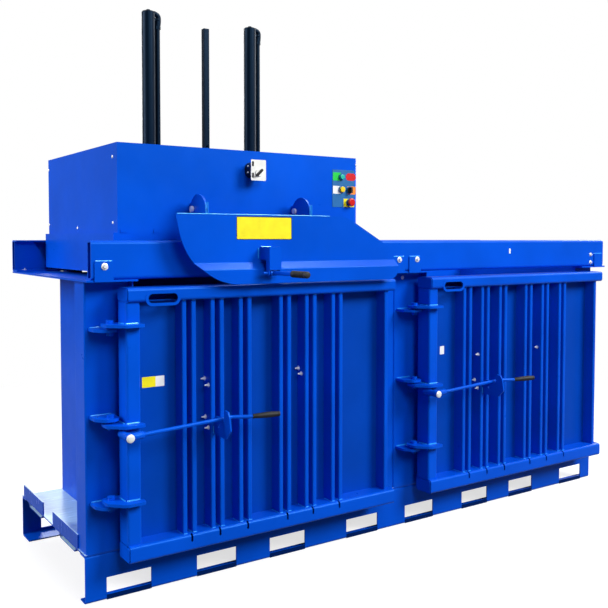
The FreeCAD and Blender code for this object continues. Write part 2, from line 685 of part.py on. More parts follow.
def head_cabinet():
    left, right = CABINET_LEFT, CABINET_RIGHT
    sheet = CABINET_SHEET
    side_on = [(left, 0), (right, 0, CABINET_CORNER), (right, BASE_DEPTH, CABINET_CORNER),
               (left, BASE_DEPTH)]
    inner_corner = CABINET_CORNER - sheet
    side_in = [(left, sheet), (right - sheet, sheet, inner_corner),
               (right - sheet, BASE_DEPTH - sheet, inner_corner), (left, BASE_DEPTH - sheet)]
    walls = prism("xy", side_on, CARRIAGE_TOP, CABINET_TOP)
    corner = CABINET_TOP_CORNER
    front_on = [(left, CARRIAGE_TOP), (right, CARRIAGE_TOP), (right, CABINET_TOP, corner),
                (left, CABINET_TOP)]
    cover = walls.common(prism("xz", front_on, 0, BASE_DEPTH))
    cover = cover.cut(prism("xy", side_in, CARRIAGE_TOP, CABINET_TOP - sheet))
    holes = []
    for x in cylinder_places():
        px = x + CYLINDER_DIAMETER / 2 + PIPE_STANDOFF + PIPE_DIAMETER / 2
        gap = 4.0
        hole = [(x - CYLINDER_DIAMETER / 2 - gap, CYLINDER_Y - CYLINDER_DIAMETER / 2 - gap, 20.0),
                (px + PIPE_DIAMETER / 2 + gap, CYLINDER_Y - CYLINDER_DIAMETER / 2 - gap, 20.0),
                (px + PIPE_DIAMETER / 2 + gap, CYLINDER_Y + CYLINDER_DIAMETER / 2 + gap, 20.0),
                (x - CYLINDER_DIAMETER / 2 - gap, CYLINDER_Y + CYLINDER_DIAMETER / 2 + gap, 20.0)]
        holes.append(prism("xy", hole, CABINET_TOP - sheet - 1, CABINET_TOP + 1))
    half = BAR_WIDTH / 2 + BAR_GAP
    holes.append(box(BAR_X - half, BAR_X + half, CYLINDER_Y - half, CYLINDER_Y + half,
                     CABINET_TOP - sheet - 1, CABINET_TOP + 1))
    holes.append(box(left, left + SIDE_PANEL_SHEET, 0, BASE_DEPTH, CARRIAGE_TOP, CABINET_TOP - sheet))
    cover = cover.cut(holes)
    pieces = [cover]
    for shift in (LEFT_EAR_SHIFT, RIGHT_EAR_SHIFT):
        pieces.append(hood_lug(HEAD_X + shift))
    return joined(pieces)


def cabinet_side_panel():
    left = CABINET_LEFT
    corner = 8.0
    points = [(0, CARRIAGE_TOP), (BASE_DEPTH, CARRIAGE_TOP), (BASE_DEPTH, CABINET_TOP - CABINET_SHEET),
              (0, CABINET_TOP - CABINET_SHEET)]
    panel = prism("yz", points, left, left + SIDE_PANEL_SHEET)
    inner = CABINET_SHEET + 1.0
    lip = prism("yz", [(inner, CARRIAGE_TOP, corner), (BASE_DEPTH - inner, CARRIAGE_TOP, corner),
                       (BASE_DEPTH - inner, CABINET_TOP - CABINET_SHEET - 1, corner),
                       (inner, CABINET_TOP - CABINET_SHEET - 1, corner)],
                left + SIDE_PANEL_SHEET, left + SIDE_PANEL_SHEET + 20)
    deep = inner + SIDE_PANEL_SHEET
    lip = lip.cut(prism("yz", [(deep, CARRIAGE_TOP + 3, corner),
                               (BASE_DEPTH - deep, CARRIAGE_TOP + 3, corner),
                               (BASE_DEPTH - deep, CABINET_TOP - CABINET_SHEET - 4, corner),
                               (deep, CABINET_TOP - CABINET_SHEET - 4, corner)],
                        left + SIDE_PANEL_SHEET, left + SIDE_PANEL_SHEET + 21))
    return joined([panel, lip])


# ---- hood ----
def hood_lug(x):
    """Lug welded to the cabinet beside an ear, with the hole for the pivot bolt."""
    x0 = x + EAR_SHEET / 2 + 1.0
    points = [(1.0, PIVOT_Z - LUG_RADIUS), (1.0, PIVOT_Z + LUG_RADIUS),
              (-PIVOT_REACH - LUG_RADIUS, PIVOT_Z + LUG_RADIUS, LUG_RADIUS * 0.95),
              (-PIVOT_REACH - LUG_RADIUS, PIVOT_Z - LUG_RADIUS, LUG_RADIUS * 0.95)]
    lug = prism("yz", points, x0, x0 + LUG_SHEET)
    return lug.cut(cylinder_x(x0, x0 + LUG_SHEET, -PIVOT_REACH, PIVOT_Z, PIVOT_DIAMETER))


def hood_pivot_bolt(x):
    left = x - EAR_SHEET / 2 - FREE_GAP
    lug_end = x + EAR_SHEET / 2 + 1.0 + LUG_SHEET
    shank = cylinder_x(left - 1.0, lug_end + 14.0, -PIVOT_REACH, PIVOT_Z, PIVOT_DIAMETER)
    head = cylinder_x(left - 10.0, left, -PIVOT_REACH, PIVOT_Z, 26.0)
    nut = cylinder_x(lug_end, lug_end + 10.0, -PIVOT_REACH, PIVOT_Z, 26.0)
    return joined([shank, head, nut])


def hood_ear(x):
    back = -HOOD_REACH + HOOD_SHEET
    centre_z = PIVOT_Z - EAR_CENTRE_DROP
    rear = -EAR_REACH + EAR_RADIUS
    front = -EAR_REACH - EAR_RADIUS
    low = PIVOT_Z - EAR_DROP
    top = centre_z + EAR_RADIUS
    ear_round = EAR_RADIUS * 0.999
    upper = prism("yz", [(front, centre_z), (rear, centre_z), (rear, top, ear_round),
                         (front, top, ear_round)], x - EAR_SHEET / 2, x + EAR_SHEET / 2)
    lower = prism("yz", [(back, HOOD_TOP_Z - 4.0), (back, low), (rear - 30.0, low),
                         (rear, low + 40.0), (rear, centre_z), (front, centre_z)],
                  x - EAR_SHEET / 2, x + EAR_SHEET / 2)
    ear = upper.fuse(lower)
    return ear.cut(cylinder_x(x - EAR_SHEET, x + EAR_SHEET, -PIVOT_REACH, PIVOT_Z,
                              PIVOT_DIAMETER + 2 * RUNNING_FIT))


def hood_shield():
    front = -HOOD_REACH
    low_front = -HOOD_REACH - HOOD_STEP
    fold_low = HOOD_FOLD_Z - HOOD_STEP
    path = [(front, HOOD_TOP_Z), (front, HOOD_FOLD_Z), (low_front, fold_low),
            (low_front, HOOD_BOTTOM_Z)]
    sheet = prism("yz", folded(path, HOOD_SHEET, 5.0), HOOD_X0, HOOD_X1)
    leaf = [(HOOD_X0 + HOOD_LEAN, HOOD_BOTTOM_Z, HOOD_LEFT_CORNER),
            (HOOD_X1, HOOD_BOTTOM_Z, HOOD_RIGHT_CORNER),
            (HOOD_X1, HOOD_TOP_Z - HOOD_SHOULDER_DROP, HOOD_SHOULDER_CORNER),
            (HOOD_X1 - HOOD_CROWN_INSET, HOOD_TOP_Z, HOOD_CROWN_CORNER),
            (HOOD_X0, HOOD_TOP_Z, 6.0)]
    sheet = sheet.common(prism("xz", leaf, low_front - 1, front + HOOD_SHEET + 1))
    pieces = [sheet]
    for shift in (LEFT_EAR_SHIFT, RIGHT_EAR_SHIFT):
        pieces.append(hood_ear(HEAD_X + shift))
    return joined(pieces)


def latch_bracket():
    x0 = LATCH_X - LATCH_WIDTH / 2
    x1 = LATCH_X + LATCH_WIDTH / 2
    front = -LATCH_REACH
    back = -HOOD_REACH
    face = prism("xz", [(x0, LATCH_BOTTOM_Z, 4.0), (x1, LATCH_BOTTOM_Z, 4.0), (x1, LATCH_TOP_Z),
                        (x0, LATCH_TOP_Z)], front, front + LATCH_PLATE)
    top = box(x0, x1, front, back, LATCH_TOP_Z - LATCH_PLATE, LATCH_TOP_Z)
    low = LATCH_TOP_Z - LATCH_CHEEK_DROP
    y = -LATCH_PIVOT_REACH
    eye_low = LATCH_PIVOT_Z - LATCH_EYE
    round_eye = LATCH_EYE * 0.95
    cheek = [(back, LATCH_TOP_Z), (back, low), (y + LATCH_EYE, low, 4.0),
             (y + LATCH_EYE, eye_low, round_eye), (y - LATCH_EYE, eye_low, round_eye),
             (y - LATCH_EYE, LATCH_BOTTOM_Z), (front, LATCH_BOTTOM_Z + 4.0), (front, LATCH_TOP_Z)]
    cheeks = [prism("yz", cheek, x, x + LATCH_PLATE) for x in (x0, x1 - LATCH_PLATE)]
    pin = cylinder_x(x0 - LATCH_PIN_OVERHANG, x1 + 3.0, y, LATCH_PIVOT_Z, LATCH_PIN)
    return joined([face, top, pin] + cheeks)


def latch_lever():
    """Raised, so that it clears the door that opens below it."""
    y = -LATCH_PIVOT_REACH
    half = LATCH_HUB_WIDTH / 2
    hub = cylinder_x(LATCH_X - half, LATCH_X + half, y, LATCH_PIVOT_Z, LATCH_HUB)
    bar = cylinder_y(-LATCH_BAR_END, y, LATCH_X, LATCH_PIVOT_Z, LATCH_BAR)
    bore = cylinder_x(LATCH_X - half, LATCH_X + half, y, LATCH_PIVOT_Z,
                      LATCH_PIN + 2 * RUNNING_FIT)
    return joined([hub, bar]).cut(bore)


def latch_grip():
    grip = cylinder_y(-FRONT_REACH, -LATCH_BAR_END, LATCH_X, LATCH_PIVOT_Z, LATCH_GRIP)
    ends = [e for e in grip.Edges if e.BoundBox.YLength < 0.01]
    return grip.makeFillet(5.0, ends)


# ---- press plate ----
def press_plate():
    half = CHAMBER_WIDTH / 2 - PLATE_SIDE_GAP
    x0, x1 = PLATE_X - half, PLATE_X + half
    y0 = CARRIAGE_SHEET + PLATE_FRONT_GAP
    y1 = BASE_DEPTH - CARRIAGE_SHEET - PLATE_FRONT_GAP
    pieces = [box(x0, x1, y0, y1, PLATE_Z, PLATE_Z + PLATE_SHEET)]
    rib_top = PLATE_TOP - PLATE_SHEET
    rib_places = [x0, x1 - PLATE_RIB]
    for rod in cylinder_places():
        rib_places += [rod - ROD_SEAT / 2 - PLATE_RIB, rod + ROD_SEAT / 2]
    for x in rib_places:
        pieces.append(box(x, x + PLATE_RIB, y0, y1, PLATE_Z + PLATE_SHEET, rib_top))
    for y in (y0, CYLINDER_Y - PLATE_SPINE / 2, CYLINDER_Y + PLATE_SPINE / 2 - PLATE_RIB,
              y1 - PLATE_RIB):
        pieces.append(box(x0, x1, y, y + PLATE_RIB, PLATE_Z + PLATE_SHEET, rib_top))
    pieces.append(box(x0 + 20, x1 - 20, CYLINDER_Y - PLATE_SADDLE / 2,
                      CYLINDER_Y + PLATE_SADDLE / 2, rib_top, PLATE_TOP))
    plate = joined(pieces)
    holes = []
    for x in cylinder_places():
        holes.append(cylinder_z(rib_top, PLATE_TOP, x, CYLINDER_Y, ROD_DIAMETER))
    return plate.cut(holes)


def piston_rod(x):
    crown = CYLINDER_TOP - CYLINDER_CAP - PISTON_TOP_CLEARANCE
    rod = cylinder_z(PLATE_TOP - PLATE_SHEET, crown, x, CYLINDER_Y, ROD_DIAMETER)
    piston = cylinder_z(crown - PISTON_LENGTH, crown, x, CYLINDER_Y,
                        CYLINDER_BORE - 2 * RUNNING_FIT)
    return joined([rod, piston])


def level_bar():
    half = BAR_WIDTH / 2
    bar = box_section("xy", BAR_X - half, BAR_X + half, CYLINDER_Y - half, CYLINDER_Y + half,
                      PLATE_TOP, BAR_TOP, BAR_WALL, 3.0)
    cap = box(BAR_X - half + 3, BAR_X + half - 3, CYLINDER_Y - half + 3, CYLINDER_Y + half - 3,
              BAR_TOP - BAR_WALL, BAR_TOP)
    foot = box(BAR_X - half + 3, BAR_X + half - 3, CYLINDER_Y - half + 3, CYLINDER_Y + half - 3,
               PLATE_TOP, PLATE_TOP + BAR_WALL)
    eye = cylinder_y(CYLINDER_Y - half - 1, CYLINDER_Y + half + 1, BAR_X, BAR_TOP - BAR_EYE_DROP,
                     BAR_EYE)
    return joined([bar, cap, foot]).cut(eye)


# ---- inside the cabinet ----
def hydraulic_tank():
    """Sheet tank with a round filler hole in its top."""
    x0 = CABINET_LEFT + TANK_INSET
    y0 = BASE_DEPTH - TANK_INSET - TANK_DEPTH
    z1 = CARRIAGE_TOP + TANK_HEIGHT
    tank = box(x0, x0 + TANK_LENGTH, y0, y0 + TANK_DEPTH, CARRIAGE_TOP, z1)
    tank = tank.makeFillet(12.0, [e for e in tank.Edges if e.BoundBox.ZLength > TANK_HEIGHT / 2])
    hollow = box(x0 + TANK_SHEET, x0 + TANK_LENGTH - TANK_SHEET, y0 + TANK_SHEET,
                 y0 + TANK_DEPTH - TANK_SHEET, CARRIAGE_TOP + TANK_SHEET, z1 - TANK_SHEET)
    filler = cylinder_z(z1 - TANK_SHEET, z1, x0 + FILLER_INSET, y0 + FILLER_INSET, FILLER_DIAMETER)
    return tank.cut([hollow.makeFillet(8.0, [e for e in hollow.Edges
                                             if e.BoundBox.ZLength > TANK_HEIGHT / 2]), filler])


def pump_motor():
    x = CABINET_LEFT + TANK_INSET + TANK_LENGTH + MOTOR_DIAMETER / 2 + 20.0
    z = CARRIAGE_TOP + MOTOR_DIAMETER / 2 + 8.0
    y0 = BASE_DEPTH - TANK_INSET - MOTOR_LENGTH - PUMP_LENGTH
    motor = cylinder_y(y0 + PUMP_LENGTH, y0 + PUMP_LENGTH + MOTOR_LENGTH, x, z, MOTOR_DIAMETER)
    pump = cylinder_y(y0, y0 + PUMP_LENGTH, x, z, PUMP_DIAMETER)
    feet = box(x - MOTOR_DIAMETER / 2, x + MOTOR_DIAMETER / 2, y0 + PUMP_LENGTH + 20.0,
               y0 + PUMP_LENGTH + MOTOR_LENGTH - 20.0, CARRIAGE_TOP, CARRIAGE_TOP + 26.0)
    return joined([motor, pump, feet])


def valve_block():
    x0 = CABINET_LEFT + TANK_INSET + TANK_LENGTH / 2 - VALVE_LENGTH / 2
    y0 = BASE_DEPTH - TANK_INSET - TANK_DEPTH / 2 - VALVE_DEPTH / 2
    z0 = CARRIAGE_TOP + TANK_HEIGHT
    block = box(x0, x0 + VALVE_LENGTH, y0, y0 + VALVE_DEPTH, z0, z0 + VALVE_HEIGHT)
    coil = cylinder_x(x0 + VALVE_LENGTH - 1, x0 + VALVE_LENGTH + 50.0, y0 + VALVE_DEPTH / 2,
                      z0 + VALVE_HEIGHT / 2, 36.0)
    return joined([block, coil])


# ---- controls ----
def control_panel():
    """Flat plate with a raised ring round each control."""
    pieces = [prism("xz", [(PANEL_LEFT, PANEL_BOTTOM, 4.0), (PANEL_RIGHT, PANEL_BOTTOM, 4.0),
                           (PANEL_RIGHT, PANEL_TOP, 4.0), (PANEL_LEFT, PANEL_TOP, 4.0)],
                    -CONTROL_PANEL_SHEET, 0)]
    ring_front = -CONTROL_PANEL_SHEET - RING_HEIGHT
    for (x, z), diameter in ((START_AT, START_DIAMETER), (RESET_AT, RESET_DIAMETER),
                             (SELECTOR_AT, SELECTOR_DIAMETER), (STOP_AT, STOP_STEM)):
        inner = diameter + 2 * FREE_GAP
        ring = cylinder_y(ring_front, -CONTROL_PANEL_SHEET, x, z, inner + 2 * BUTTON_RING)
        pieces.append(ring.cut(cylinder_y(ring_front, -CONTROL_PANEL_SHEET, x, z, inner)))
    return joined(pieces)


def front_rim(solid, y):
    return [e for e in solid.Edges if e.BoundBox.YLength < 0.01 and abs(e.BoundBox.YMin - y) < 0.01]


def button(place, diameter):
    """A round push button standing in its ring, clear of the plate by its travel."""
    x, z = place
    back = -CONTROL_PANEL_SHEET - BUTTON_TRAVEL - FREE_GAP
    body = cylinder_y(back - BUTTON_HEIGHT, back, x, z, diameter)
    return body.makeFillet(2.5, front_rim(body, back - BUTTON_HEIGHT))


def emergency_stop():
    back = -CONTROL_PANEL_SHEET - BUTTON_TRAVEL - FREE_GAP
    middle = back - STOP_HEIGHT / 2
    x, z = STOP_AT
    stem = cylinder_y(middle, back, x, z, STOP_STEM)
    head = cylinder_y(back - STOP_HEIGHT, middle, x, z, STOP_DIAMETER)
    head = head.makeFillet(6.0, front_rim(head, back - STOP_HEIGHT))
    return joined([stem, head])


def mode_selector():
    back = -CONTROL_PANEL_SHEET - FREE_GAP
    x, z = SELECTOR_AT
    half = SELECTOR_DIAMETER / 2 - 1.0
    base = cylinder_y(back - BUTTON_HEIGHT, back, x, z, SELECTOR_DIAMETER)
    bar = box(x - 5.0, x + 5.0, back - 2 * BUTTON_HEIGHT, back - BUTTON_HEIGHT + 1.0,
              z - half, z + half)
    return joined([base, bar])


def isolator_base():
    x = ISOLATOR_X
    half = ISOLATOR_WIDTH / 2
    rise = ISOLATOR_HEIGHT / 2
    return prism("xz", [(x - half, ISOLATOR_Z - rise, ISOLATOR_CORNER),
                        (x + half, ISOLATOR_Z - rise, ISOLATOR_CORNER),
                        (x + half, ISOLATOR_Z + rise, ISOLATOR_CORNER),
                        (x - half, ISOLATOR_Z + rise, ISOLATOR_CORNER)], -ISOLATOR_DEPTH, 0)


def isolator_handle():
    """Round knob with a grip bar that lies at forty-five degrees."""
    z = ISOLATOR_Z - ISOLATOR_KNOB_DROP
    back = -ISOLATOR_DEPTH - FREE_GAP
    hub = cylinder_y(back - 6.0, back, ISOLATOR_X, z, ISOLATOR_KNOB_DIAMETER)
    bar = box(-22.0, 22.0, back - ISOLATOR_KNOB_HEIGHT, back - 5.0, -5.5, 5.5)
    bar.rotate(V(0, 0, 0), V(0, 1, 0), -45)
    bar.translate(V(ISOLATOR_X, 0, z))
    return joined([hub, bar])


# ---- doors ----
def rib_left_edges(chamber):
    """Left edge of each of the twelve ribs, two to a pair."""
    edges = []
    for middle in RIB_PAIRS:
        edges.append(chamber + middle - RIB_GAP / 2 - RIB_WIDTH)
        edges.append(chamber + middle + RIB_GAP / 2)
    return edges


def door_frame(chamber):
    x0 = chamber + DOOR_LEFT
    x1 = chamber + DOOR_RIGHT
    back = -DOOR_BACK
    top_low = DOOR_TOP_Z - TOP_TUBE_HEIGHT
    bottom_high = DOOR_BOTTOM_Z + BOTTOM_TUBE_HEIGHT
    top = box_section("yz", -TUBE_REACH, back, top_low, DOOR_TOP_Z, x0, x1, TUBE_WALL, TUBE_CORNER)
    bottom = box_section("yz", -TUBE_REACH, back, DOOR_BOTTOM_Z, bottom_high, x0, x1, TUBE_WALL,
                         TUBE_CORNER)
    side_left = x0 - LEFT_TUBE_INSET
    upright_back = back - UPRIGHT_INSET
    low = bottom_high - TUBE_CORNER
    high = top_low + TUBE_CORNER
    left = box_section("xy", side_left, side_left + LEFT_TUBE_WIDTH, -LEFT_TUBE_REACH,
                       upright_back, low, high, TUBE_WALL, LEFT_TUBE_CORNER)
    strip_left = x1 - EDGE_STRIP_WIDTH - EDGE_RIB_WIDTH
    strip = box(strip_left, x1, -PANEL_REACH, upright_back, low, high)
    strip = strip.cut(box(strip_left, x1 - TUBE_WALL, -PANEL_REACH + TUBE_WALL, upright_back, low,
                          high))
    coping = [rounded_bar("yz", -TUBE_REACH, back, top_low, DOOR_TOP_Z, x0 - 50, x1 + 50, TUBE_CORNER),
              rounded_bar("yz", -TUBE_REACH, back, DOOR_BOTTOM_Z, bottom_high, x0 - 50, x1 + 50,
                          TUBE_CORNER)]
    left = left.cut(coping)
    strip = strip.cut(coping)
    rim_half = SLOT_LENGTH / 2 + SLOT_RIM
    rim_high = SLOT_HEIGHT / 2 + SLOT_RIM
    sx = chamber + SLOT_CENTRE_X
    rim_front = -TUBE_REACH - SLOT_RIM_RAISE
    tongue = rounded_bar("xz", sx - rim_half, sx + rim_half, SLOT_CENTRE_Z - rim_high,
                         SLOT_CENTRE_Z + rim_high, rim_front, rim_front + SLOT_RIM_SHEET,
                         rim_high * 0.98)
    half = SLOT_LENGTH / 2
    rise = SLOT_HEIGHT / 2
    cuts = [rounded_bar("xz", sx - half, sx + half, SLOT_CENTRE_Z - rise, SLOT_CENTRE_Z + rise,
                        rim_front - 1, -TUBE_REACH + SLOT_DEPTH, rise * 0.98)]
    for middle in RIB_PAIRS:
        nx = chamber + middle
        cuts.append(box(nx - NOTCH_WIDTH / 2, nx + NOTCH_WIDTH / 2, -TUBE_REACH - 1,
                        -TUBE_REACH + TUBE_WALL + TUBE_CORNER, bottom_high - NOTCH_DEPTH,
                        bottom_high + 1))
    frame = joined([top, bottom, left, strip, tongue]).cut(cuts)
    boss_x = chamber + HINGE_X + LEVER_SHIFT
    boss_end = -LEVER_REACH + LEVER_HUB_LENGTH / 2 + FREE_GAP
    boss = cylinder_y(boss_end, -LEFT_TUBE_REACH + 2.0, boss_x, LEVER_Z, LEVER_HUB - 6.0)
    web = box(boss_x, side_left + LEFT_TUBE_WIDTH / 2, -LEFT_TUBE_REACH - 14.0,
              -LEFT_TUBE_REACH + TUBE_WALL - 1.0, LEVER_Z - 18.0, LEVER_Z + 6.0)
    pin_end = -LEVER_REACH - LEVER_HUB_LENGTH / 2 - FREE_GAP
    pin = cylinder_y(pin_end - 4.0, boss_end + 1.0, boss_x, LEVER_Z, LEVER_PIN)
    head = cylinder_y(pin_end - 9.0, pin_end, boss_x, LEVER_Z, LEVER_HUB - 4.0)
    return joined([frame, boss, web, pin, head])


def door_panel(chamber):
    x0 = chamber + DOOR_LEFT - LEFT_TUBE_INSET + LEFT_TUBE_WIDTH
    x1 = chamber + DOOR_RIGHT - EDGE_STRIP_WIDTH - EDGE_RIB_WIDTH
    return box(x0, x1, -PANEL_REACH, -PANEL_REACH + PANEL_SHEET,
               DOOR_BOTTOM_Z + BOTTOM_TUBE_HEIGHT, DOOR_TOP_Z - TOP_TUBE_HEIGHT)


def door_ribs(chamber):
    low = DOOR_BOTTOM_Z + BOTTOM_TUBE_HEIGHT
    high = DOOR_TOP_Z - TOP_TUBE_HEIGHT
    ribs = []
    for x in rib_left_edges(chamber):
        path = [(x, -PANEL_REACH), (x, -RIB_REACH), (x + RIB_WIDTH, -RIB_REACH),
                (x + RIB_WIDTH, -PANEL_REACH)]
        ribs.append(prism("xy", folded(path, RIB_WALL, 2.0), low, high))
    edge = chamber + DOOR_RIGHT - EDGE_STRIP_WIDTH - EDGE_RIB_WIDTH
    path = [(edge, -PANEL_REACH), (edge, -RIB_REACH), (edge + EDGE_RIB_WIDTH, -RIB_REACH),
            (edge + EDGE_RIB_WIDTH, -PANEL_REACH)]
    ribs.append(prism("xy", folded(path, RIB_WALL, 2.0), low, high))
    return ribs


def hinge_z_levels(level):
    """Moving leaf above the fixed one, except at the middle hinge, which traps the door."""
    if level == MIDDLE_HINGE_Z:
        return level + LEAF_GAP / 2, level - LEAF_GAP / 2 - LEAF_SHEET
    return level - LEAF_GAP / 2 - LEAF_SHEET, level + LEAF_GAP / 2


def fixed_leaf(chamber, level):
    x = chamber + HINGE_X
    low = hinge_z_levels(level)[0]
    reach = -HINGE_REACH - EYE_RADIUS
    points = [(x - FIXED_LEAF_LEFT, 0), (x + FIXED_LEAF_RIGHT, 0), (x + FIXED_LEAF_RIGHT, reach, 33.0),
              (x - FIXED_LEAF_RIGHT, reach, 30.0), (x - FIXED_LEAF_LEFT, -HINGE_REACH + 10.0, 18.0)]
    leaf = prism("xy", points, low, low + LEAF_SHEET)
    return leaf.cut(cylinder_z(low, low + LEAF_SHEET, x, -HINGE_REACH, HINGE_PIN))


def hinge_leaf(chamber, level):
    x = chamber + HINGE_X
    low = hinge_z_levels(level)[1]
    right = x + MOVING_LEAF_RIGHT
    points = [(x - EYE_RADIUS, -HINGE_REACH + EYE_RADIUS, EYE_RADIUS - 1.0),
              (x - EYE_RADIUS, -HINGE_REACH - 42.0, 30.0),
              (x + 24.0, -MOVING_LEAF_REACH, 44.0), (right, -MOVING_LEAF_REACH + 4.0, 12.0),
              (right, -LEFT_TUBE_REACH), (x + LEAF_HEEL, -LEFT_TUBE_REACH),
              (x + LEAF_HEEL, -HINGE_REACH + EYE_RADIUS)]
    leaf = prism("xy", points, low, low + LEAF_SHEET)
    side_left = chamber + DOOR_LEFT - LEFT_TUBE_INSET
    tube = rounded_bar("xy", side_left, side_left + LEFT_TUBE_WIDTH, -LEFT_TUBE_REACH,
                       -DOOR_BACK - UPRIGHT_INSET, low - 1, low + LEAF_SHEET + 1, LEFT_TUBE_CORNER)
    bore = cylinder_z(low, low + LEAF_SHEET, x, -HINGE_REACH, HINGE_PIN + 2 * RUNNING_FIT)
    return leaf.cut([tube, bore])


def hinge_pin(chamber, level):
    x = chamber + HINGE_X
    high = level + LEAF_GAP / 2 + LEAF_SHEET + FREE_GAP
    low = level - LEAF_GAP / 2 - LEAF_SHEET
    shank = cylinder_z(low - 16.0, high + 2.0, x, -HINGE_REACH, HINGE_PIN)
    head = cylinder_z(high, high + HINGE_HEAD_HEIGHT, x, -HINGE_REACH, HINGE_HEAD)
    nut = cylinder_z(low - 16.0, low - FREE_GAP, x, -HINGE_REACH, HINGE_HEAD - 4.0)
    washer = cylinder_z(level - LEAF_GAP / 2 + FREE_GAP, level + LEAF_GAP / 2 - FREE_GAP, x,
                        -HINGE_REACH, HINGE_HEAD + 8.0)
    return joined([shank, head, nut, washer])


# ---- levers ----
def lever_points(chamber):
    x = chamber + HINGE_X + LEVER_SHIFT
    start = V(x, -LEVER_REACH, LEVER_Z)
    bend = V(x + LEVER_BEND_X, -LEVER_REACH, LEVER_Z + LEVER_RISE)
    grip_start = V(x + GRIP_START_X, -GRIP_START_REACH, LEVER_Z + LEVER_RISE)
    grip_end = V(x + GRIP_END_X, -GRIP_END_REACH, LEVER_Z + GRIP_END_RISE)
    return start, bend, grip_start, grip_end


def lever(chamber):
    start, bend, grip_start, grip_end = lever_points(chamber)
    x = start.x
    half = LEVER_HUB_LENGTH / 2
    hub = cylinder_y(-LEVER_REACH - half, -LEVER_REACH + half, x, LEVER_Z, LEVER_HUB)
    along = (bend - start).normalize()
    sleeve = rod_between(start, start + along * SLEEVE_LENGTH, SLEEVE_DIAMETER - 2.0)
    rod = rod_between(start, bend, LEVER_ROD)
    knee = Part.makeSphere(LEVER_ROD / 2, bend)
    turned = rod_between(bend, grip_start, LEVER_ROD)
    knee2 = Part.makeSphere(LEVER_ROD / 2, grip_start)
    tail = rod_between(grip_start, grip_end, LEVER_ROD)
    bore = cylinder_y(-LEVER_REACH - half, -LEVER_REACH + half, x, LEVER_Z,
                      LEVER_PIN + 2 * RUNNING_FIT)
    return joined([hub, sleeve, rod, knee, turned, knee2, tail]).cut(bore)


def lever_grip(chamber):
    grip_start, grip_end = lever_points(chamber)[2:]
    along = (grip_end - grip_start).normalize()
    start = grip_start + along * 5.0
    end = grip_end + along * 8.0
    length = (end - start).Length
    shell = Part.makeCone(GRIP_DIAMETER * 0.36, GRIP_DIAMETER / 2, length * 0.55, start, along)
    tip = Part.makeCone(GRIP_DIAMETER / 2, GRIP_DIAMETER * 0.4, length * 0.45,
                        start + along * (length * 0.55), along)
    core = rod_between(grip_start, grip_end, LEVER_ROD)
    return joined([shell, tip]).cut(core)


def catch_plate(chamber):
    """Upright plate on a rib; the lever's rod lies in the notch between its heel and its horn."""
    x = chamber + CATCH_SHIFT
    along = (CATCH_SHIFT - HINGE_X - LEVER_SHIFT) / LEVER_BEND_X
    seat = LEVER_Z + LEVER_RISE * along - LEVER_ROD / 2 - FREE_GAP
    heel = -LEVER_REACH + CATCH_NOTCH * 0.6
    horn = -LEVER_REACH - CATCH_NOTCH * 0.4
    points = [(-RIB_REACH, seat - CATCH_TAIL + 3.0), (-CATCH_REACH + 40.0, seat - CATCH_TAIL, 6.0),
              (-CATCH_REACH, seat - 32.0, 12.0), (-CATCH_REACH + 12.0, seat + 27.0, 10.0),
              (-CATCH_REACH + 24.0, seat + CATCH_HORN - 5.0, 6.0), (horn, seat + CATCH_HORN, 8.0),
              (horn, seat, 6.0), (heel, seat, 6.0), (heel, seat + 8.0, 4.0),
              (-RIB_REACH - 15.0, seat + 10.0, 12.0), (-RIB_REACH, seat - 10.0)]
    plate = prism("yz", points, x - CATCH_SHEET / 2, x + CATCH_SHEET / 2)
    hole = cylinder_x(x - CATCH_SHEET, x + CATCH_SHEET, -RIB_REACH - 45.0, seat - 30.0, CATCH_HOLE)
    return plate.cut(hole)


# ---- everything, one file a node ----
os.makedirs("parts", exist_ok=True)

save("front_skirt", [front_skirt()])
save("rear_skirt", [rear_skirt()])
save("floor_plate", [floor_plate()])
save("left_front_post", [post(-HALF_BASE + FLOOR_SHEET, CHAMBERS[0] - WALL_OFFSET)])
save("middle_left_post", [post(CHAMBERS[0] + WALL_OFFSET, MODULE_SEAM_X)])
save("middle_right_post", [post(MODULE_SEAM_X, CHAMBERS[1] - WALL_OFFSET)])
save("right_front_post", [post(CHAMBERS[1] + WALL_OFFSET, HALF_BASE - FLOOR_SHEET)])
save("chamber_1_shell", [chamber_shell(CHAMBERS[0])])
save("chamber_2_shell", [chamber_shell(CHAMBERS[1])])
save("rear_columns", [rear_column(chamber + side * COLUMN_OFFSET)
                      for chamber in CHAMBERS for side in (-1, 1)])

save("left_rail_bearer", [bearer(-REAR_RAIL_END, CHAMBERS[0] - INNER_WALL, [-END_TAB_X])])
save("middle_rail_bearer", [bearer(CHAMBERS[0] + INNER_WALL, CHAMBERS[1] - INNER_WALL,
                                   [MODULE_SEAM_X - SEAM_TAB_LEFT,
                                    MODULE_SEAM_X + SEAM_TAB_RIGHT])])
save("right_rail_bearer", [bearer(CHAMBERS[1] + INNER_WALL, REAR_RAIL_END, [END_TAB_X])])
save("front_rail_left", [rail(-FRONT_RAIL_END, MODULE_SEAM_X, -RAIL_REACH, 1, -1)])
save("front_rail_right", [rail(MODULE_SEAM_X, FRONT_RAIL_END, -RAIL_REACH, 1, 1)])
save("rear_rail_left", [rail(-REAR_RAIL_END, MODULE_SEAM_X, REAR_RAIL_FACE, -1, -1)])
save("rear_rail_right", [rail(MODULE_SEAM_X, REAR_RAIL_END, REAR_RAIL_FACE, -1, 1)])

save("fixed_hinge_leaves", [fixed_leaf(chamber, level)
                            for chamber in CHAMBERS for level in HINGE_LEVELS])
save("hinge_pins", [hinge_pin(chamber, level) for chamber in CHAMBERS for level in HINGE_LEVELS])

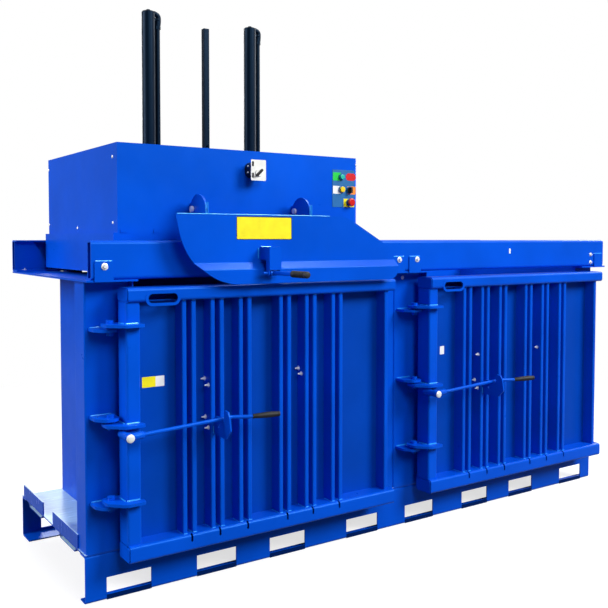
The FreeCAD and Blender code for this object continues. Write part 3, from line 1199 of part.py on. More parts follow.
save("carriage_frame", [carriage_frame()])
for name, place in zip(("front_left_roller", "rear_left_roller", "front_right_roller",
                        "rear_right_roller"), roller_places()):
    save(name, [roller(*place)])
save("head_cabinet", [head_cabinet()])
save("cabinet_side_panel", [cabinet_side_panel()])
save("press_cylinders", [press_cylinder(x) for x in cylinder_places()])
save("oil_pipes", [oil_pipe(x) for x in cylinder_places()])
save("hydraulic_tank", [hydraulic_tank()])
save("pump_motor", [pump_motor()])
save("valve_block", [valve_block()])
save("isolator_base", [isolator_base()])
save("isolator_handle", [isolator_handle()])
save("control_panel", [control_panel()])
save("start_button", [button(START_AT, START_DIAMETER)])
save("reset_button", [button(RESET_AT, RESET_DIAMETER)])
save("mode_selector", [mode_selector()])
save("emergency_stop", [emergency_stop()])
save("hood_pivot_bolts", [hood_pivot_bolt(HEAD_X + shift)
                          for shift in (LEFT_EAR_SHIFT, RIGHT_EAR_SHIFT)])
save("hood_shield", [hood_shield()])
save("latch_bracket", [latch_bracket()])
save("latch_lever", [latch_lever()])
save("latch_grip", [latch_grip()])
save("press_plate", [press_plate()])
save("piston_rods", [piston_rod(x) for x in cylinder_places()])
save("level_bar", [level_bar()])

for number, chamber in enumerate(CHAMBERS, 1):
    door = "door_%d_" % number
    save(door + "frame", [door_frame(chamber)])
    save(door + "panel", [door_panel(chamber)])
    save(door + "ribs", door_ribs(chamber))
    save(door + "hinge_leaves", [hinge_leaf(chamber, level) for level in HINGE_LEVELS])
    save(door + "catch_plate", [catch_plate(chamber)])
    save(door + "lever", [lever(chamber)])
    save(door + "lever_grip", [lever_grip(chamber)])
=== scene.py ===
import json
import math

import bmesh
import bpy
from mathutils import Matrix, Vector


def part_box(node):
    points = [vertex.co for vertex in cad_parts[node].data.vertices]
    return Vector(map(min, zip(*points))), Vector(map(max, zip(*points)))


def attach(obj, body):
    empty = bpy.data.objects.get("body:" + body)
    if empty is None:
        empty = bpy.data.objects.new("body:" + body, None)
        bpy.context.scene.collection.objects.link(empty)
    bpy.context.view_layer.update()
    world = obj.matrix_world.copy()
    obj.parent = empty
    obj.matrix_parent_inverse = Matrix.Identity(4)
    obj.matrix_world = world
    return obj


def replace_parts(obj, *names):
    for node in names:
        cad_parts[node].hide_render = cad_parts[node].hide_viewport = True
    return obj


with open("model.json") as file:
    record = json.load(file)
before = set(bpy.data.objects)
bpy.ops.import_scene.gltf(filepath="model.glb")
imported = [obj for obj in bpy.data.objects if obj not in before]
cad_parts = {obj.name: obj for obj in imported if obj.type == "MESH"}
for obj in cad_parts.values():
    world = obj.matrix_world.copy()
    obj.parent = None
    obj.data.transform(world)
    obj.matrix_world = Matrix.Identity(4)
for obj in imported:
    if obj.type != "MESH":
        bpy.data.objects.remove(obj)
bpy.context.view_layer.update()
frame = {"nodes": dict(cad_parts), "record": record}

# Places below are in millimetres as the machine is measured: X from its middle, Y back from the
# front face of the base, Z up from the floor.
FRONT_FACE_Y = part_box("floor_plate")[0].y
MM = 0.001
CHAMBERS = {1: -817.0, 2: 817.0}


def at(x, y, z):
    """A point measured on the machine, as a point of the scene."""
    return Vector((x * MM, FRONT_FACE_Y + y * MM, z * MM))


# ---- camera ----
def add_camera():
    data = bpy.data.cameras.new("camera")
    data.sensor_width = 36.0
    data.lens = 47.78
    data.shift_x = 0.0132
    data.shift_y = -0.0510
    camera = bpy.data.objects.new("camera", data)
    camera.location = at(-2706.8, -3183.9, 1500.0)
    camera.rotation_euler = (math.radians(87.603), 0.0, math.radians(-33.574))
    bpy.context.scene.collection.objects.link(camera)
    bpy.context.scene.camera = camera


# ---- materials ----
class Surface:
    """A node material under construction, with short calls for the nodes finishes share."""

    def __init__(self, name):
        self.material = bpy.data.materials.new(name)
        self.material.use_nodes = True
        self.nodes = self.material.node_tree.nodes
        self.links = self.material.node_tree.links
        self.shader = self.nodes["Principled BSDF"]
        self.place = self.nodes.new("ShaderNodeTexCoord").outputs["Object"]

    def set(self, **values):
        for name, value in values.items():
            self.shader.inputs[name.replace("_", " ")].default_value = value

    def stretched(self, scale):
        mapping = self.nodes.new("ShaderNodeMapping")
        mapping.inputs["Scale"].default_value = scale
        self.links.new(self.place, mapping.inputs["Vector"])
        return mapping.outputs["Vector"]

    def noise(self, scale, detail=3.0, vector=None, roughness=0.5):
        node = self.nodes.new("ShaderNodeTexNoise")
        node.inputs["Scale"].default_value = scale
        node.inputs["Detail"].default_value = detail
        node.inputs["Roughness"].default_value = roughness
        self.links.new(vector or self.place, node.inputs["Vector"])
        return node.outputs["Fac"]

    def ramp(self, value, stops):
        node = self.nodes.new("ShaderNodeValToRGB")
        elements = node.color_ramp.elements
        while len(elements) < len(stops):
            elements.new(0.5)
        for element, (position, colour) in zip(elements, stops):
            element.position = position
            element.color = (*colour, 1.0)
        self.links.new(value, node.inputs["Fac"])
        return node.outputs["Color"]

    def spread(self, value, low, high):
        node = self.nodes.new("ShaderNodeMapRange")
        node.inputs["To Min"].default_value = low
        node.inputs["To Max"].default_value = high
        self.links.new(value, node.inputs["Value"])
        return node.outputs["Result"]

    def bump(self, height, strength, distance):
        node = self.nodes.new("ShaderNodeBump")
        node.inputs["Strength"].default_value = strength
        node.inputs["Distance"].default_value = distance
        self.links.new(height, node.inputs["Height"])
        self.links.new(node.outputs["Normal"], self.shader.inputs["Normal"])

    def colour(self, output):
        self.links.new(output, self.shader.inputs["Base Color"])

    def roughness(self, output):
        self.links.new(output, self.shader.inputs["Roughness"])


def mixed(colour, share):
    return tuple(c * share for c in colour)


def paint(name, colour, rough=0.3, shine=0.3, tint=(0.1, 0.55, 1.0), peel=0.05):
    """Powder coat: faint mottling, the orange-peel skin and a gloss of its own hue."""
    s = Surface(name)
    mottle = s.noise(3.0, 4.0)
    s.colour(s.ramp(mottle, [(0.3, mixed(colour, 0.88)), (0.7, mixed(colour, 1.08))]))
    s.roughness(s.spread(s.noise(14.0, 3.0), rough * 0.8, rough * 1.25))
    s.set(Specular_IOR_Level=shine, Specular_Tint=(*tint, 1.0), IOR=1.5)
    s.bump(s.noise(420.0, 2.0), peel, 0.0006)
    return s.material


def streaked_paint_with_painted_reflection(name, colour, painted_reflection_colour):
    """Paint on a plate, streaked and scratched: its upward faces get a paler colour as a painted
    reflection of the bright surroundings, and the sides keep the plain colour.
    """
    s = Surface(name)
    streaks = s.noise(9.0, 6.0, s.stretched((1.0, 7.0, 1.0)), 0.65)
    side_colour = s.ramp(streaks, [(0.35, mixed(colour, 0.9)), (0.7, mixed(colour, 1.05))])
    # The pale colour of the upward faces is painted reflection.
    reflected_top = s.ramp(streaks, [(0.3, mixed(painted_reflection_colour, 0.85)), (0.5, painted_reflection_colour), (0.72, mixed(painted_reflection_colour, 1.06))])
    facing = s.nodes.new("ShaderNodeSeparateXYZ")
    s.links.new(s.nodes.new("ShaderNodeTexCoord").outputs["Normal"], facing.inputs["Vector"])
    upward = s.nodes.new("ShaderNodeMapRange")
    upward.inputs["From Min"].default_value = 0.6
    upward.inputs["From Max"].default_value = 0.95
    s.links.new(facing.outputs["Z"], upward.inputs["Value"])
    both = s.nodes.new("ShaderNodeMix")
    both.data_type = "RGBA"
    s.links.new(upward.outputs["Result"], both.inputs["Factor"])
    s.links.new(side_colour, [i for i in both.inputs if i.type == "RGBA"][0])
    s.links.new(reflected_top, [i for i in both.inputs if i.type == "RGBA"][1])
    s.colour([o for o in both.outputs if o.type == "RGBA"][0])
    s.roughness(s.spread(streaks, 0.16, 0.34))
    s.set(Specular_Tint=(0.4, 0.7, 1.0, 1.0))
    s.bump(s.noise(160.0, 5.0, s.stretched((1.0, 9.0, 1.0))), 0.03, 0.0004)
    return s.material


def metal(name, colour, rough, grain=(1.0, 1.0, 40.0), metallic=1.0):
    """Drawn metal, its streaks stretched across the grain."""
    s = Surface(name)
    streaks = s.noise(60.0, 4.0, s.stretched(grain))
    s.colour(s.ramp(streaks, [(0.3, mixed(colour, 0.86)), (0.7, mixed(colour, 1.05))]))
    s.roughness(s.spread(streaks, rough * 0.75, rough * 1.4))
    s.set(Metallic=metallic)
    s.bump(streaks, 0.08, 0.0004)
    return s.material


def plastic(name, colour, rough, grain=900.0, strength=0.08, shine=0.5):
    """Moulded plastic with a fine grain."""
    s = Surface(name)
    s.colour(s.ramp(s.noise(25.0, 2.0), [(0.3, mixed(colour, 0.93)), (0.7, mixed(colour, 1.05))]))
    s.roughness(s.spread(s.noise(60.0, 2.0), rough * 0.85, rough * 1.2))
    s.set(Specular_IOR_Level=shine)
    s.bump(s.noise(grain, 2.0), strength, 0.0003)
    return s.material


def sticker(name, colour, rough):
    """Smooth printed film."""
    return plastic(name, colour, rough, grain=1500.0, strength=0.03, shine=0.3)


def rubber(name, colour):
    """Dull moulded rubber."""
    s = Surface(name)
    s.colour(s.ramp(s.noise(40.0, 3.0), [(0.3, mixed(colour, 0.8)), (0.75, mixed(colour, 1.3))]))
    s.roughness(s.spread(s.noise(90.0, 2.0), 0.45, 0.7))
    s.set(Specular_IOR_Level=0.4)
    s.bump(s.noise(700.0, 3.0), 0.25, 0.0005)
    return s.material


BLUE = (0.0004, 0.078, 0.63)


def make_materials():
    return {
        "blue_paint": paint("blue_paint", BLUE),
        # A paler, glossier blue for the weld beads and the hood's rolled edge: painted highlight.
        "painted_highlight_paint": paint("painted_highlight_paint", (0.02, 0.32, 0.9), rough=0.14, shine=1.0,
                            tint=(0.5, 0.85, 1.0), peel=0.2),
        # A darker copy of the blue for the doors' recessed sheets: painted shade.
        "painted_shade_panel_paint": paint("painted_shade_panel_paint", mixed(BLUE, 0.64), rough=0.36),
        # A near-black copy of the blue for the strips under the fork windows: painted shadow.
        "shade_paint": paint("shade_paint", mixed(BLUE, 0.16), rough=0.5, shine=0.1),
        # The floor plate's upward faces are paler: painted reflection.
        "floor_paint": streaked_paint_with_painted_reflection("floor_paint", mixed(BLUE, 0.85), (0.46, 0.7, 0.87)),
        "dark_paint": paint("dark_paint", (0.001, 0.004, 0.0095), rough=0.4, shine=0.15,
                            tint=(0.2, 0.5, 1.0), peel=0.03),
        "grey_paint": paint("grey_paint", (0.3, 0.31, 0.33), rough=0.4, tint=(1.0, 1.0, 1.0)),
        "rod_chrome": metal("rod_chrome", (0.8, 0.81, 0.83), 0.1, (1.0, 1.0, 6.0)),
        "bright_steel": metal("bright_steel", (0.9, 0.92, 0.93), 0.3, metallic=0.25),
        "valve_aluminium": metal("valve_aluminium", (0.7, 0.71, 0.72), 0.35),
        "black_rubber": rubber("black_rubber", (0.007, 0.007, 0.009)),
        "black_plastic": plastic("black_plastic", (0.008, 0.008, 0.01), 0.38, shine=0.35),
        "white_plastic": plastic("white_plastic", (0.78, 0.79, 0.76), 0.4, shine=0.3),
        "panel_film": plastic("panel_film", (0.012, 0.13, 0.35), 0.4, shine=0.3),
        "green_plastic": plastic("green_plastic", (0.02, 0.5, 0.38), 0.22),
        "yellow_plastic": plastic("yellow_plastic", (0.85, 0.6, 0.02), 0.22),
        "red_plastic": plastic("red_plastic", (0.62, 0.012, 0.008), 0.22),
        "wheel_plastic": plastic("wheel_plastic", (0.55, 0.53, 0.46), 0.45),
        "label_yellow": sticker("label_yellow", (0.88, 0.78, 0.01), 0.45),
        "label_white": sticker("label_white", (0.82, 0.83, 0.84), 0.45),
        "label_green": sticker("label_green", (0.01, 0.55, 0.06), 0.4),
        "label_red": sticker("label_red", (0.6, 0.006, 0.01), 0.4),
        "label_orange": sticker("label_orange", (0.83, 0.25, 0.03), 0.4),
        "label_black": sticker("label_black", (0.01, 0.01, 0.012), 0.45),
    }


# The recessed sheets of the doors take a darker copy of the blue than what stands out in front of
# them: painted shade for the shade of the recess.
PAINTED_SHADE_PANELS = {"door_1_panel": "painted_shade_panel_paint", "door_2_panel": "painted_shade_panel_paint"}


def dress_frame():
    slot_of = {s["node"]: s["material_slot"] for s in frame["record"]["subparts"]}
    for name, node in frame["nodes"].items():
        finish = MATERIALS[PAINTED_SHADE_PANELS.get(name, slot_of[name])]
        node.data.materials.clear()
        node.data.materials.append(finish)


# ---- meshes ----
SHARP_ANGLE = math.radians(38)
CORNER_STEPS = 4
BEAD_SIDES = 8


def finished(name, bm, body, material):
    """Turns a bmesh into a piece of the scene that rides on a body."""
    mesh = bpy.data.meshes.new(name)
    bmesh.ops.recalc_face_normals(bm, faces=bm.faces)
    bm.to_mesh(mesh)
    bm.free()
    mesh.shade_smooth()
    mesh.set_sharp_from_angle(angle=SHARP_ANGLE)
    mesh.materials.append(MATERIALS[material])
    piece = bpy.data.objects.new(name, mesh)
    bpy.context.scene.collection.objects.link(piece)
    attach(piece, body)
    return piece


def turned(bm, profile, centre, axis, sides=28):
    """Revolves (radius, height) points round an axis through centre."""
    up = Vector(axis).normalized()
    side = up.orthogonal().normalized()
    across = up.cross(side)
    rings = []
    for radius, height in profile:
        if radius <= 0:
            rings.append([bm.verts.new(centre + up * height * MM)])
            continue
        ring = []
        for i in range(sides):
            turn = 2 * math.pi * i / sides
            out = side * math.cos(turn) + across * math.sin(turn)
            ring.append(bm.verts.new(centre + out * radius * MM + up * height * MM))
        rings.append(ring)
    for low, high in zip(rings, rings[1:]):
        for i in range(sides):
            j = (i + 1) % sides
            corners = (low[i % len(low)], low[j % len(low)],
                       high[j % len(high)], high[i % len(high)])
            distinct = list(dict.fromkeys(corners))
            if len(distinct) > 2:
                bm.faces.new(distinct)


def skinned(bm, rings):
    """Joins rings of equal size into a closed tube."""
    sides = len(rings[0])
    for low, high in zip(rings, rings[1:]):
        for k in range(sides):
            bm.faces.new((low[k], low[(k + 1) % sides], high[(k + 1) % sides], high[k]))
    bm.faces.new(rings[0])
    bm.faces.new(rings[-1])


def bolt(bm, centre, axis, across):
    """A hexagon head with a chamfered crown on a flat washer."""
    washer = 2.0
    turned(bm, [(0, 0), (across * 0.95, 0), (across * 0.95, 1.6), (across * 0.9, washer),
                (0, washer)], centre, axis)
    corner = across / math.sqrt(3)
    high = across * 0.6
    turned(bm, [(0, washer), (corner, washer), (corner, washer + high * 0.8),
                (corner * 0.86, washer + high), (0, washer + high)], centre, axis, sides=6)


def dome_screw(bm, centre, axis, radius):
    """A low domed head with a socket in it."""
    turned(bm, [(0, 0), (radius, 0), (radius, 0.8), (radius * 0.85, 2.2), (radius * 0.5, 3.1),
                (radius * 0.32, 3.2), (radius * 0.3, 1.6), (0, 1.6)], centre, axis, sides=20)


def rib_bolt(bm, centre):
    """A nut on a threaded end that stands out from the side of a rib."""
    bolt(bm, centre, LEFT, 11.0)
    thread = [(0, 6.0)]
    for i in range(5):
        thread += [(3.4, 8.0 + 2.0 * i), (4.0, 9.0 + 2.0 * i)]
    turned(bm, thread + [(3.0, 19.0), (0, 19.0)], centre, LEFT, 14)


def slab(bm, low, high, corner=0.0, axis="y"):
    """A flat plate with rounded corners, thin along one axis."""
    order = {"x": (1, 2, 0), "y": (0, 2, 1)}[axis]
    u0, v0, w0 = (low[i] for i in order)
    u1, v1, w1 = (high[i] for i in order)
    outline = []
    if corner <= 0:
        outline = [(u0, v0), (u1, v0), (u1, v1), (u0, v1)]
    else:
        centres = ((u1 - corner, v1 - corner, 0), (u0 + corner, v1 - corner, 90),
                   (u0 + corner, v0 + corner, 180), (u1 - corner, v0 + corner, 270))
        for cu, cv, start in centres:
            for i in range(CORNER_STEPS + 1):
                turn = math.radians(start + 90 * i / CORNER_STEPS)
                outline.append((cu + corner * math.cos(turn), cv + corner * math.sin(turn)))
    loops = []
    for w in (w0, w1):
        loop = []
        for u, v in outline:
            point = [0.0, 0.0, 0.0]
            for index, value in zip(order, (u, v, w)):
                point[index] = value
            loop.append(bm.verts.new(at(*point)))
        loops.append(loop)
    bm.faces.new(loops[0])
    bm.faces.new(loops[1])
    for i in range(len(outline)):
        j = (i + 1) % len(outline)
        bm.faces.new((loops[0][i], loops[0][j], loops[1][j], loops[1][i]))


def bead(bm, start, end, radius, pitch=5.0):
    """A weld bead: overlapping ripples along a line."""
    along = end - start
    length = along.length / MM
    count = max(4, int(length / pitch))
    up = along.normalized()
    side = up.orthogonal().normalized()
    across = up.cross(side)
    rings = []
    for i in range(2 * count + 1):
        share = i / (2 * count)
        swell = radius * (1.0 if i % 2 else 0.78)
        if i in (0, 2 * count):
            swell = radius * 0.35
        ring = []
        for k in range(BEAD_SIDES):
            turn = 2 * math.pi * k / BEAD_SIDES
            out = side * math.cos(turn) + across * math.sin(turn)
            ring.append(bm.verts.new(start + along * share + out * swell * MM))
        rings.append(ring)
    skinned(bm, rings)


FRONT = (0, -1, 0)
BACK = (0, 1, 0)
LEFT = (-1, 0, 0)
UP = (0, 0, 1)

# Y of the outer faces that fasteners and welds sit on.
RAIL_FACE = -85.0
TAB_FACE = -91.0
RIB_FACE = -130.0
TUBE_FACE = -133.0


# ---- small fasteners ----
# For each door: X from the middle of its chamber, Y and Z of the bolts on the ribs' sides.
RIB_BOLTS = {1: ((-299, -72, 898), (-299, -108, 875), (-299, -78, 732), (-299, -106, 690),
                 (188, -74, 900), (188, -98, 878)),
             2: ((-299, -108, 878), (-299, -84, 736), (-299, -106, 694), (188, -98, 880))}


def add_bolts():
    bm = bmesh.new()
    for x, z in ((-1567, 1391), (-29, 1397), (90, 1397)):
        bolt(bm, at(x, TAB_FACE, z), FRONT, 15.0)
    for z in (1407, 1360):
        bolt(bm, at(1500, RAIL_FACE, z), FRONT, 12.0)
    for x, y, z in ((-1592, 1022, 1399), (-1545, 1022, 1372), (-1567, -77, 1391),
                    (1567, 1022, 1391), (1567, -77, 1391)):
        bolt(bm, at(x, y, z), FRONT if y > 0 else BACK, 13.0)
    for x in (-1592, 1592):
        for y in (-46, 990):
            bolt(bm, at(x, y, 1345), UP, 13.0)
    finished("rail_bolts", bm, "base", "bright_steel")

    bm = bmesh.new()
    bolt(bm, at(70, 0, 1301), FRONT, 10.0)
    bolt(bm, at(-42, 0, 1301), FRONT, 10.0)
    finished("post_bolts", bm, "base", "bright_steel")

    bm = bmesh.new()
    for y, z in ((50, 1843), (50, 1569), (502, 1552), (935, 1849), (935, 1573)):
        dome_screw(bm, at(-1477, y, z), LEFT, 6.5)
    dome_screw(bm, at(-236, 2.6, 1868), (0.5, -0.866, 0), 5.0)
    finished("cabinet_screws", bm, "head", "bright_steel")

    for number, middle in CHAMBERS.items():
        bm = bmesh.new()
        for rib, y, z in RIB_BOLTS[number]:
            rib_bolt(bm, at(middle + rib, y, z))
        turned(bm, [(0, 0), (17.0, 0), (17.0, 3.5), (14.5, 6.0), (8.0, 7.4), (0, 7.8)],
               at(middle - 703, -229.0, 722), FRONT, 32)
        finished("door_%d_bolts" % number, bm, "door_%d" % number, "bright_steel")

    bm = bmesh.new()
    for z in (1800, 1828):
        dome_screw(bm, at(-872, -30, z), LEFT, 4.5)
    finished("isolator_screws", bm, "head", "bright_steel")


# ---- weld beads ----
RIB_MIDDLES = (-400, -266, -128, 80, 221, 372)
HINGE_TOPS = (1160.5, 757.5, 442.5)
FIXED_TOPS = (1139.5, 778.5, 421.5)


# The weld beads take the paler blue: painted highlight.
def add_beads():
    for number, middle in CHAMBERS.items():
        bm = bmesh.new()
        for rib in RIB_MIDDLES:
            for left in (middle + rib - 33, middle + rib + 11):
                for z in (257.5, 1247.5):
                    bead(bm, at(left + 1, RIB_FACE - 1, z), at(left + 21, RIB_FACE - 1, z), 3.0)
                bead(bm, at(left - 0.5, -124, 258), at(left - 0.5, -70, 258), 2.6)
        left = middle - 685
        for z in HINGE_TOPS:
            bead(bm, at(left + 3, TUBE_FACE - 1, z + 1), at(left + 60, TUBE_FACE - 1, z + 1),
                 4.6, 7.0)
        for z in HINGE_TOPS:
            bead(bm, at(left - 1, -124, z + 0.5), at(left - 1, -70, z + 0.5), 3.4, 6.0)
        catch = middle - 283
        for x in (catch - 4.5, catch + 4.5):
            bead(bm, at(x, RIB_FACE - 1, 668), at(x, RIB_FACE - 1, 700), 3.0)
        finished("door_%d_welds" % number, bm, "door_%d" % number, "painted_highlight_paint")

    bm = bmesh.new()
    for middle in CHAMBERS.values():
        pin = middle - 724
        for z in FIXED_TOPS:
            bead(bm, at(pin - 60, -1, z + 0.5), at(pin + 30, -1, z + 0.5), 4.0, 7.0)
            bead(bm, at(pin - 60, -1, z - 12.5), at(pin + 30, -1, z - 12.5), 3.6, 7.0)
    for x in (-1569, -31, 76, 1569):
        bead(bm, at(x - 36, RAIL_FACE - 1.5, 1412.5), at(x + 36, RAIL_FACE - 1.5, 1412.5), 4.0, 7.0)
    finished("base_welds", bm, "base", "painted_highlight_paint")

    bm = bmesh.new()
    bead(bm, at(-892, -171, 1467), at(-836, -171, 1467), 3.4, 6.0)
    for x in (-903.5, -842.5):
        bead(bm, at(x, -171, 1416), at(x, -171, 1463), 2.6)
    for x in (-1150, -623):
        bead(bm, at(x - 4.5, -166.5, 1594), at(x - 4.5, -166.5, 1655), 2.4)
        bead(bm, at(x + 4.5, -166.5, 1594), at(x + 4.5, -166.5, 1655), 2.4)
    finished("hood_welds", bm, "hood", "painted_highlight_paint")


# ---- bare plates and caps ----
def add_plates():
    for number, middle in CHAMBERS.items():
        body = "door_%d" % number
        bm = bmesh.new()
        for x in (middle - 681 + 1.5, middle + 718 - 4.5):
            slab(bm, (x, -145.4, 1251.6), (x + 3, -42.6, 1300.4), 9.5, "x")
            slab(bm, (x, -145.4, 191.6), (x + 3, -42.6, 253.4), 9.5, "x")
        finished(body + "_caps", bm, body, "blue_paint")
    bm = bmesh.new()
    slab(bm, (-1465, -3, 1527), (-1434, 1, 1541), 2.0)
    slab(bm, (-1318, -3, 1527), (-1290, 1, 1541), 2.0)
    finished("cabinet_tabs", bm, "head", "blue_paint")
    bm = bmesh.new()
    slab(bm, (-873, -60.2, 1763), (-796, -57, 1856), 5.0)
    finished("isolator_plate", bm, "head", "white_plastic")
    bm = bmesh.new()
    for z in (1775, 1826):
        slab(bm, (-869, -60.5, z), (-859, -60.1, z + 22), 2.0)
    finished("isolator_marks", bm, "head", "label_black")


FORK_SHIFTS = (-621.0, -204.0, 176.0, 627.0)


def add_fork_window_painted_shadows():
    """A dark strip under each fork window, in front of the skirt: painted shadow standing in for the
    shadowed flange behind the window.
    """
    bm = bmesh.new()
    for middle in CHAMBERS.values():
        for shift in FORK_SHIFTS:
            x = middle + shift
            slab(bm, (x - 100, -0.6, 1.5), (x + 100, 0.4, 22.0))
    finished("fork_window_painted_shadows", bm, "base", "shade_paint")


# ---- labels ----
HOLE_STEPS = 28


def button_label(name, material, low, high, stem, radius):
    """A bare sticker on the control panel, cut out where a button's stem passes through it."""
    x0, y0, z0 = low
    x1, y1, z1 = high
    sx, sz = stem
    if sx + radius < x1:
        open_turn = 0.0
        loops = [[(x0, z0), (x1, z0), (x1, z1), (x0, z1)], []]
    else:
        open_turn = math.acos((x1 - sx) / radius)
        loops = [[(x0, z1), (x0, z0), (x1, z0)]]
    arc = []
    last = HOLE_STEPS - 1 if open_turn else HOLE_STEPS
    for i in range(HOLE_STEPS):
        turn = 2 * math.pi - open_turn - (2 * math.pi - 2 * open_turn) * i / last
        arc.append((sx + radius * math.cos(turn), sz + radius * math.sin(turn)))
    loops[-1] += arc
    if open_turn:
        loops[0].append((x1, z1))
    bm = bmesh.new()
    edges = []
    for loop in loops:
        ring = [bm.verts.new(at(x, y0, z)) for x, z in loop]
        edges += [bm.edges.new((a, b)) for a, b in zip(ring, ring[1:] + ring[:1])]
    bmesh.ops.triangle_fill(bm, use_beauty=True, edges=edges)
    grown = bmesh.ops.extrude_face_region(bm, geom=list(bm.faces))["geom"]
    moved = [v for v in grown if isinstance(v, bmesh.types.BMVert)]
    bmesh.ops.translate(bm, vec=(0, (y1 - y0) * MM, 0), verts=moved)
    finished(name, bm, "head", material)


def label(name, body, material, low, high, corner=2.0):
    """A bare sticker with rounded corners."""
    bm = bmesh.new()
    slab(bm, low, high, corner)
    finished(name, bm, body, material)


def add_labels():
    """Bare fields of colour where the machine has its stickers."""
    label("hood_field", "hood", "label_yellow", (-1008, -170.4, 1501), (-732, -169.9, 1595), 3.0)
    label("hood_field_edge", "hood", "label_black",
          (-1011, -170.15, 1498), (-729, -169.8, 1598), 4.0)
    button_label("start_field", "label_green",
                 (-379, -2.4, 1786), (-331, -1.9, 1825), (-330, 1804), 14.5)
    label("stop_oval", "head", "label_red", (-301, -2.4, 1788), (-239, -1.9, 1824), 17.5)
    button_label("reset_field", "label_white",
                 (-379, -2.4, 1722), (-332, -1.9, 1760), (-329, 1743), 16.7)
    label("selector_field", "head", "label_orange", (-292, -2.4, 1721), (-240, -1.9, 1760), 4.0)
    button_label("stop_field", "label_yellow",
                 (-314, -2.4, 1659), (-249, -1.9, 1699), (-282, 1681), 17.5)
    label("door_1_field", "door_1", "label_yellow", (-1402, -65.5, 884), (-1342, -64.9, 928))
    label("door_1_blank", "door_1", "label_white", (-1342, -65.5, 884), (-1302, -64.9, 928))
    label("door_2_blank", "door_2", "label_white", (277, -65.5, 891), (307, -64.9, 934))
    label("rail_mark", "base", "label_white", (779, -85.5, 1420), (791, -84.9, 1448), 1.0)


# ---- grips and pipe elbows ----
def add_latch_grip():
    """Ribbed rubber sleeve with a collar at its root and a rounded end."""
    length = 114.0
    profile = [(0, 0), (13.4, 0), (14.4, 1.5), (14.4, 13), (13.6, 14.5)]
    place = 18.0
    while place < length - 20:
        profile += [(12.4, place), (14.3, place + 1.6), (14.3, place + 3.4), (12.4, place + 5.0)]
        place += 7.0
    profile += [(13.8, length - 17), (14.3, length - 15), (14.3, length - 6), (12.6, length - 2),
                (9.0, length - 0.2), (0, length)]
    bm = bmesh.new()
    turned(bm, profile, at(-864, -383, 1355), FRONT, 36)
    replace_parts(finished("latch_sleeve", bm, "latch", "black_rubber"), "latch_grip")


def swept(bm, points, radius, sides=14, steps=6):
    """A round bar along a smooth line through the points."""
    line = []
    for i in range(len(points) - 1):
        before = points[max(i - 1, 0)]
        here = points[i]
        ahead = points[i + 1]
        beyond = points[min(i + 2, len(points) - 1)]
        for k in range(steps):
            t = k / steps
            line.append(0.5 * ((2 * here) + (ahead - before) * t
                               + (2 * before - 5 * here + 4 * ahead - beyond) * t * t
                               + (3 * here - before - 3 * ahead + beyond) * t * t * t))
    line.append(points[-1])
    rings = []
    side = None
    for i, place in enumerate(line):
        up = (line[min(i + 1, len(line) - 1)] - line[max(i - 1, 0)]).normalized()
        side = up.orthogonal() if side is None else side - up * side.dot(up)
        side.normalize()
        across = up.cross(side)
        rings.append([bm.verts.new(place + (side * math.cos(2 * math.pi * k / sides)
                                            + across * math.sin(2 * math.pi * k / sides))
                                   * radius * MM) for k in range(sides)])
    skinned(bm, rings)


def add_isolator_handle():
    """Pale dial with a black grip bar across it at forty-five degrees."""
    bm = bmesh.new()
    centre = at(-835, -60.3, 1798)
    turned(bm, [(0, 0), (17.0, 0), (17.0, 4.2), (15.8, 5.8), (12.5, 6.0), (12.0, 5.4), (0, 5.4)],
           centre, FRONT, 36)
    dial = finished("isolator_dial", bm, "isolator", "white_plastic")
    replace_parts(dial, "isolator_handle")
    bm = bmesh.new()
    slab(bm, (-857, -74.2, 1792.5), (-813, -64.5, 1803.5), 5.2)
    turn = Matrix.Translation(centre) @ Matrix.Rotation(math.radians(-45), 4, "Y") \
        @ Matrix.Translation(-centre)
    bmesh.ops.transform(bm, matrix=turn, verts=bm.verts)
    finished("isolator_grip", bm, "isolator", "black_plastic")


# A door's lever: its pivot from the middle of the chamber, then the bar's path from the pivot.
LEVER_X = -703.0
LEVER_RADIUS = 8.3
LEVER_PATH = ((0, -208, 722), (224, -208, 734.5), (440, -208, 746), (470, -210, 746.5),
              (546, -231, 744), (657, -268, 749))


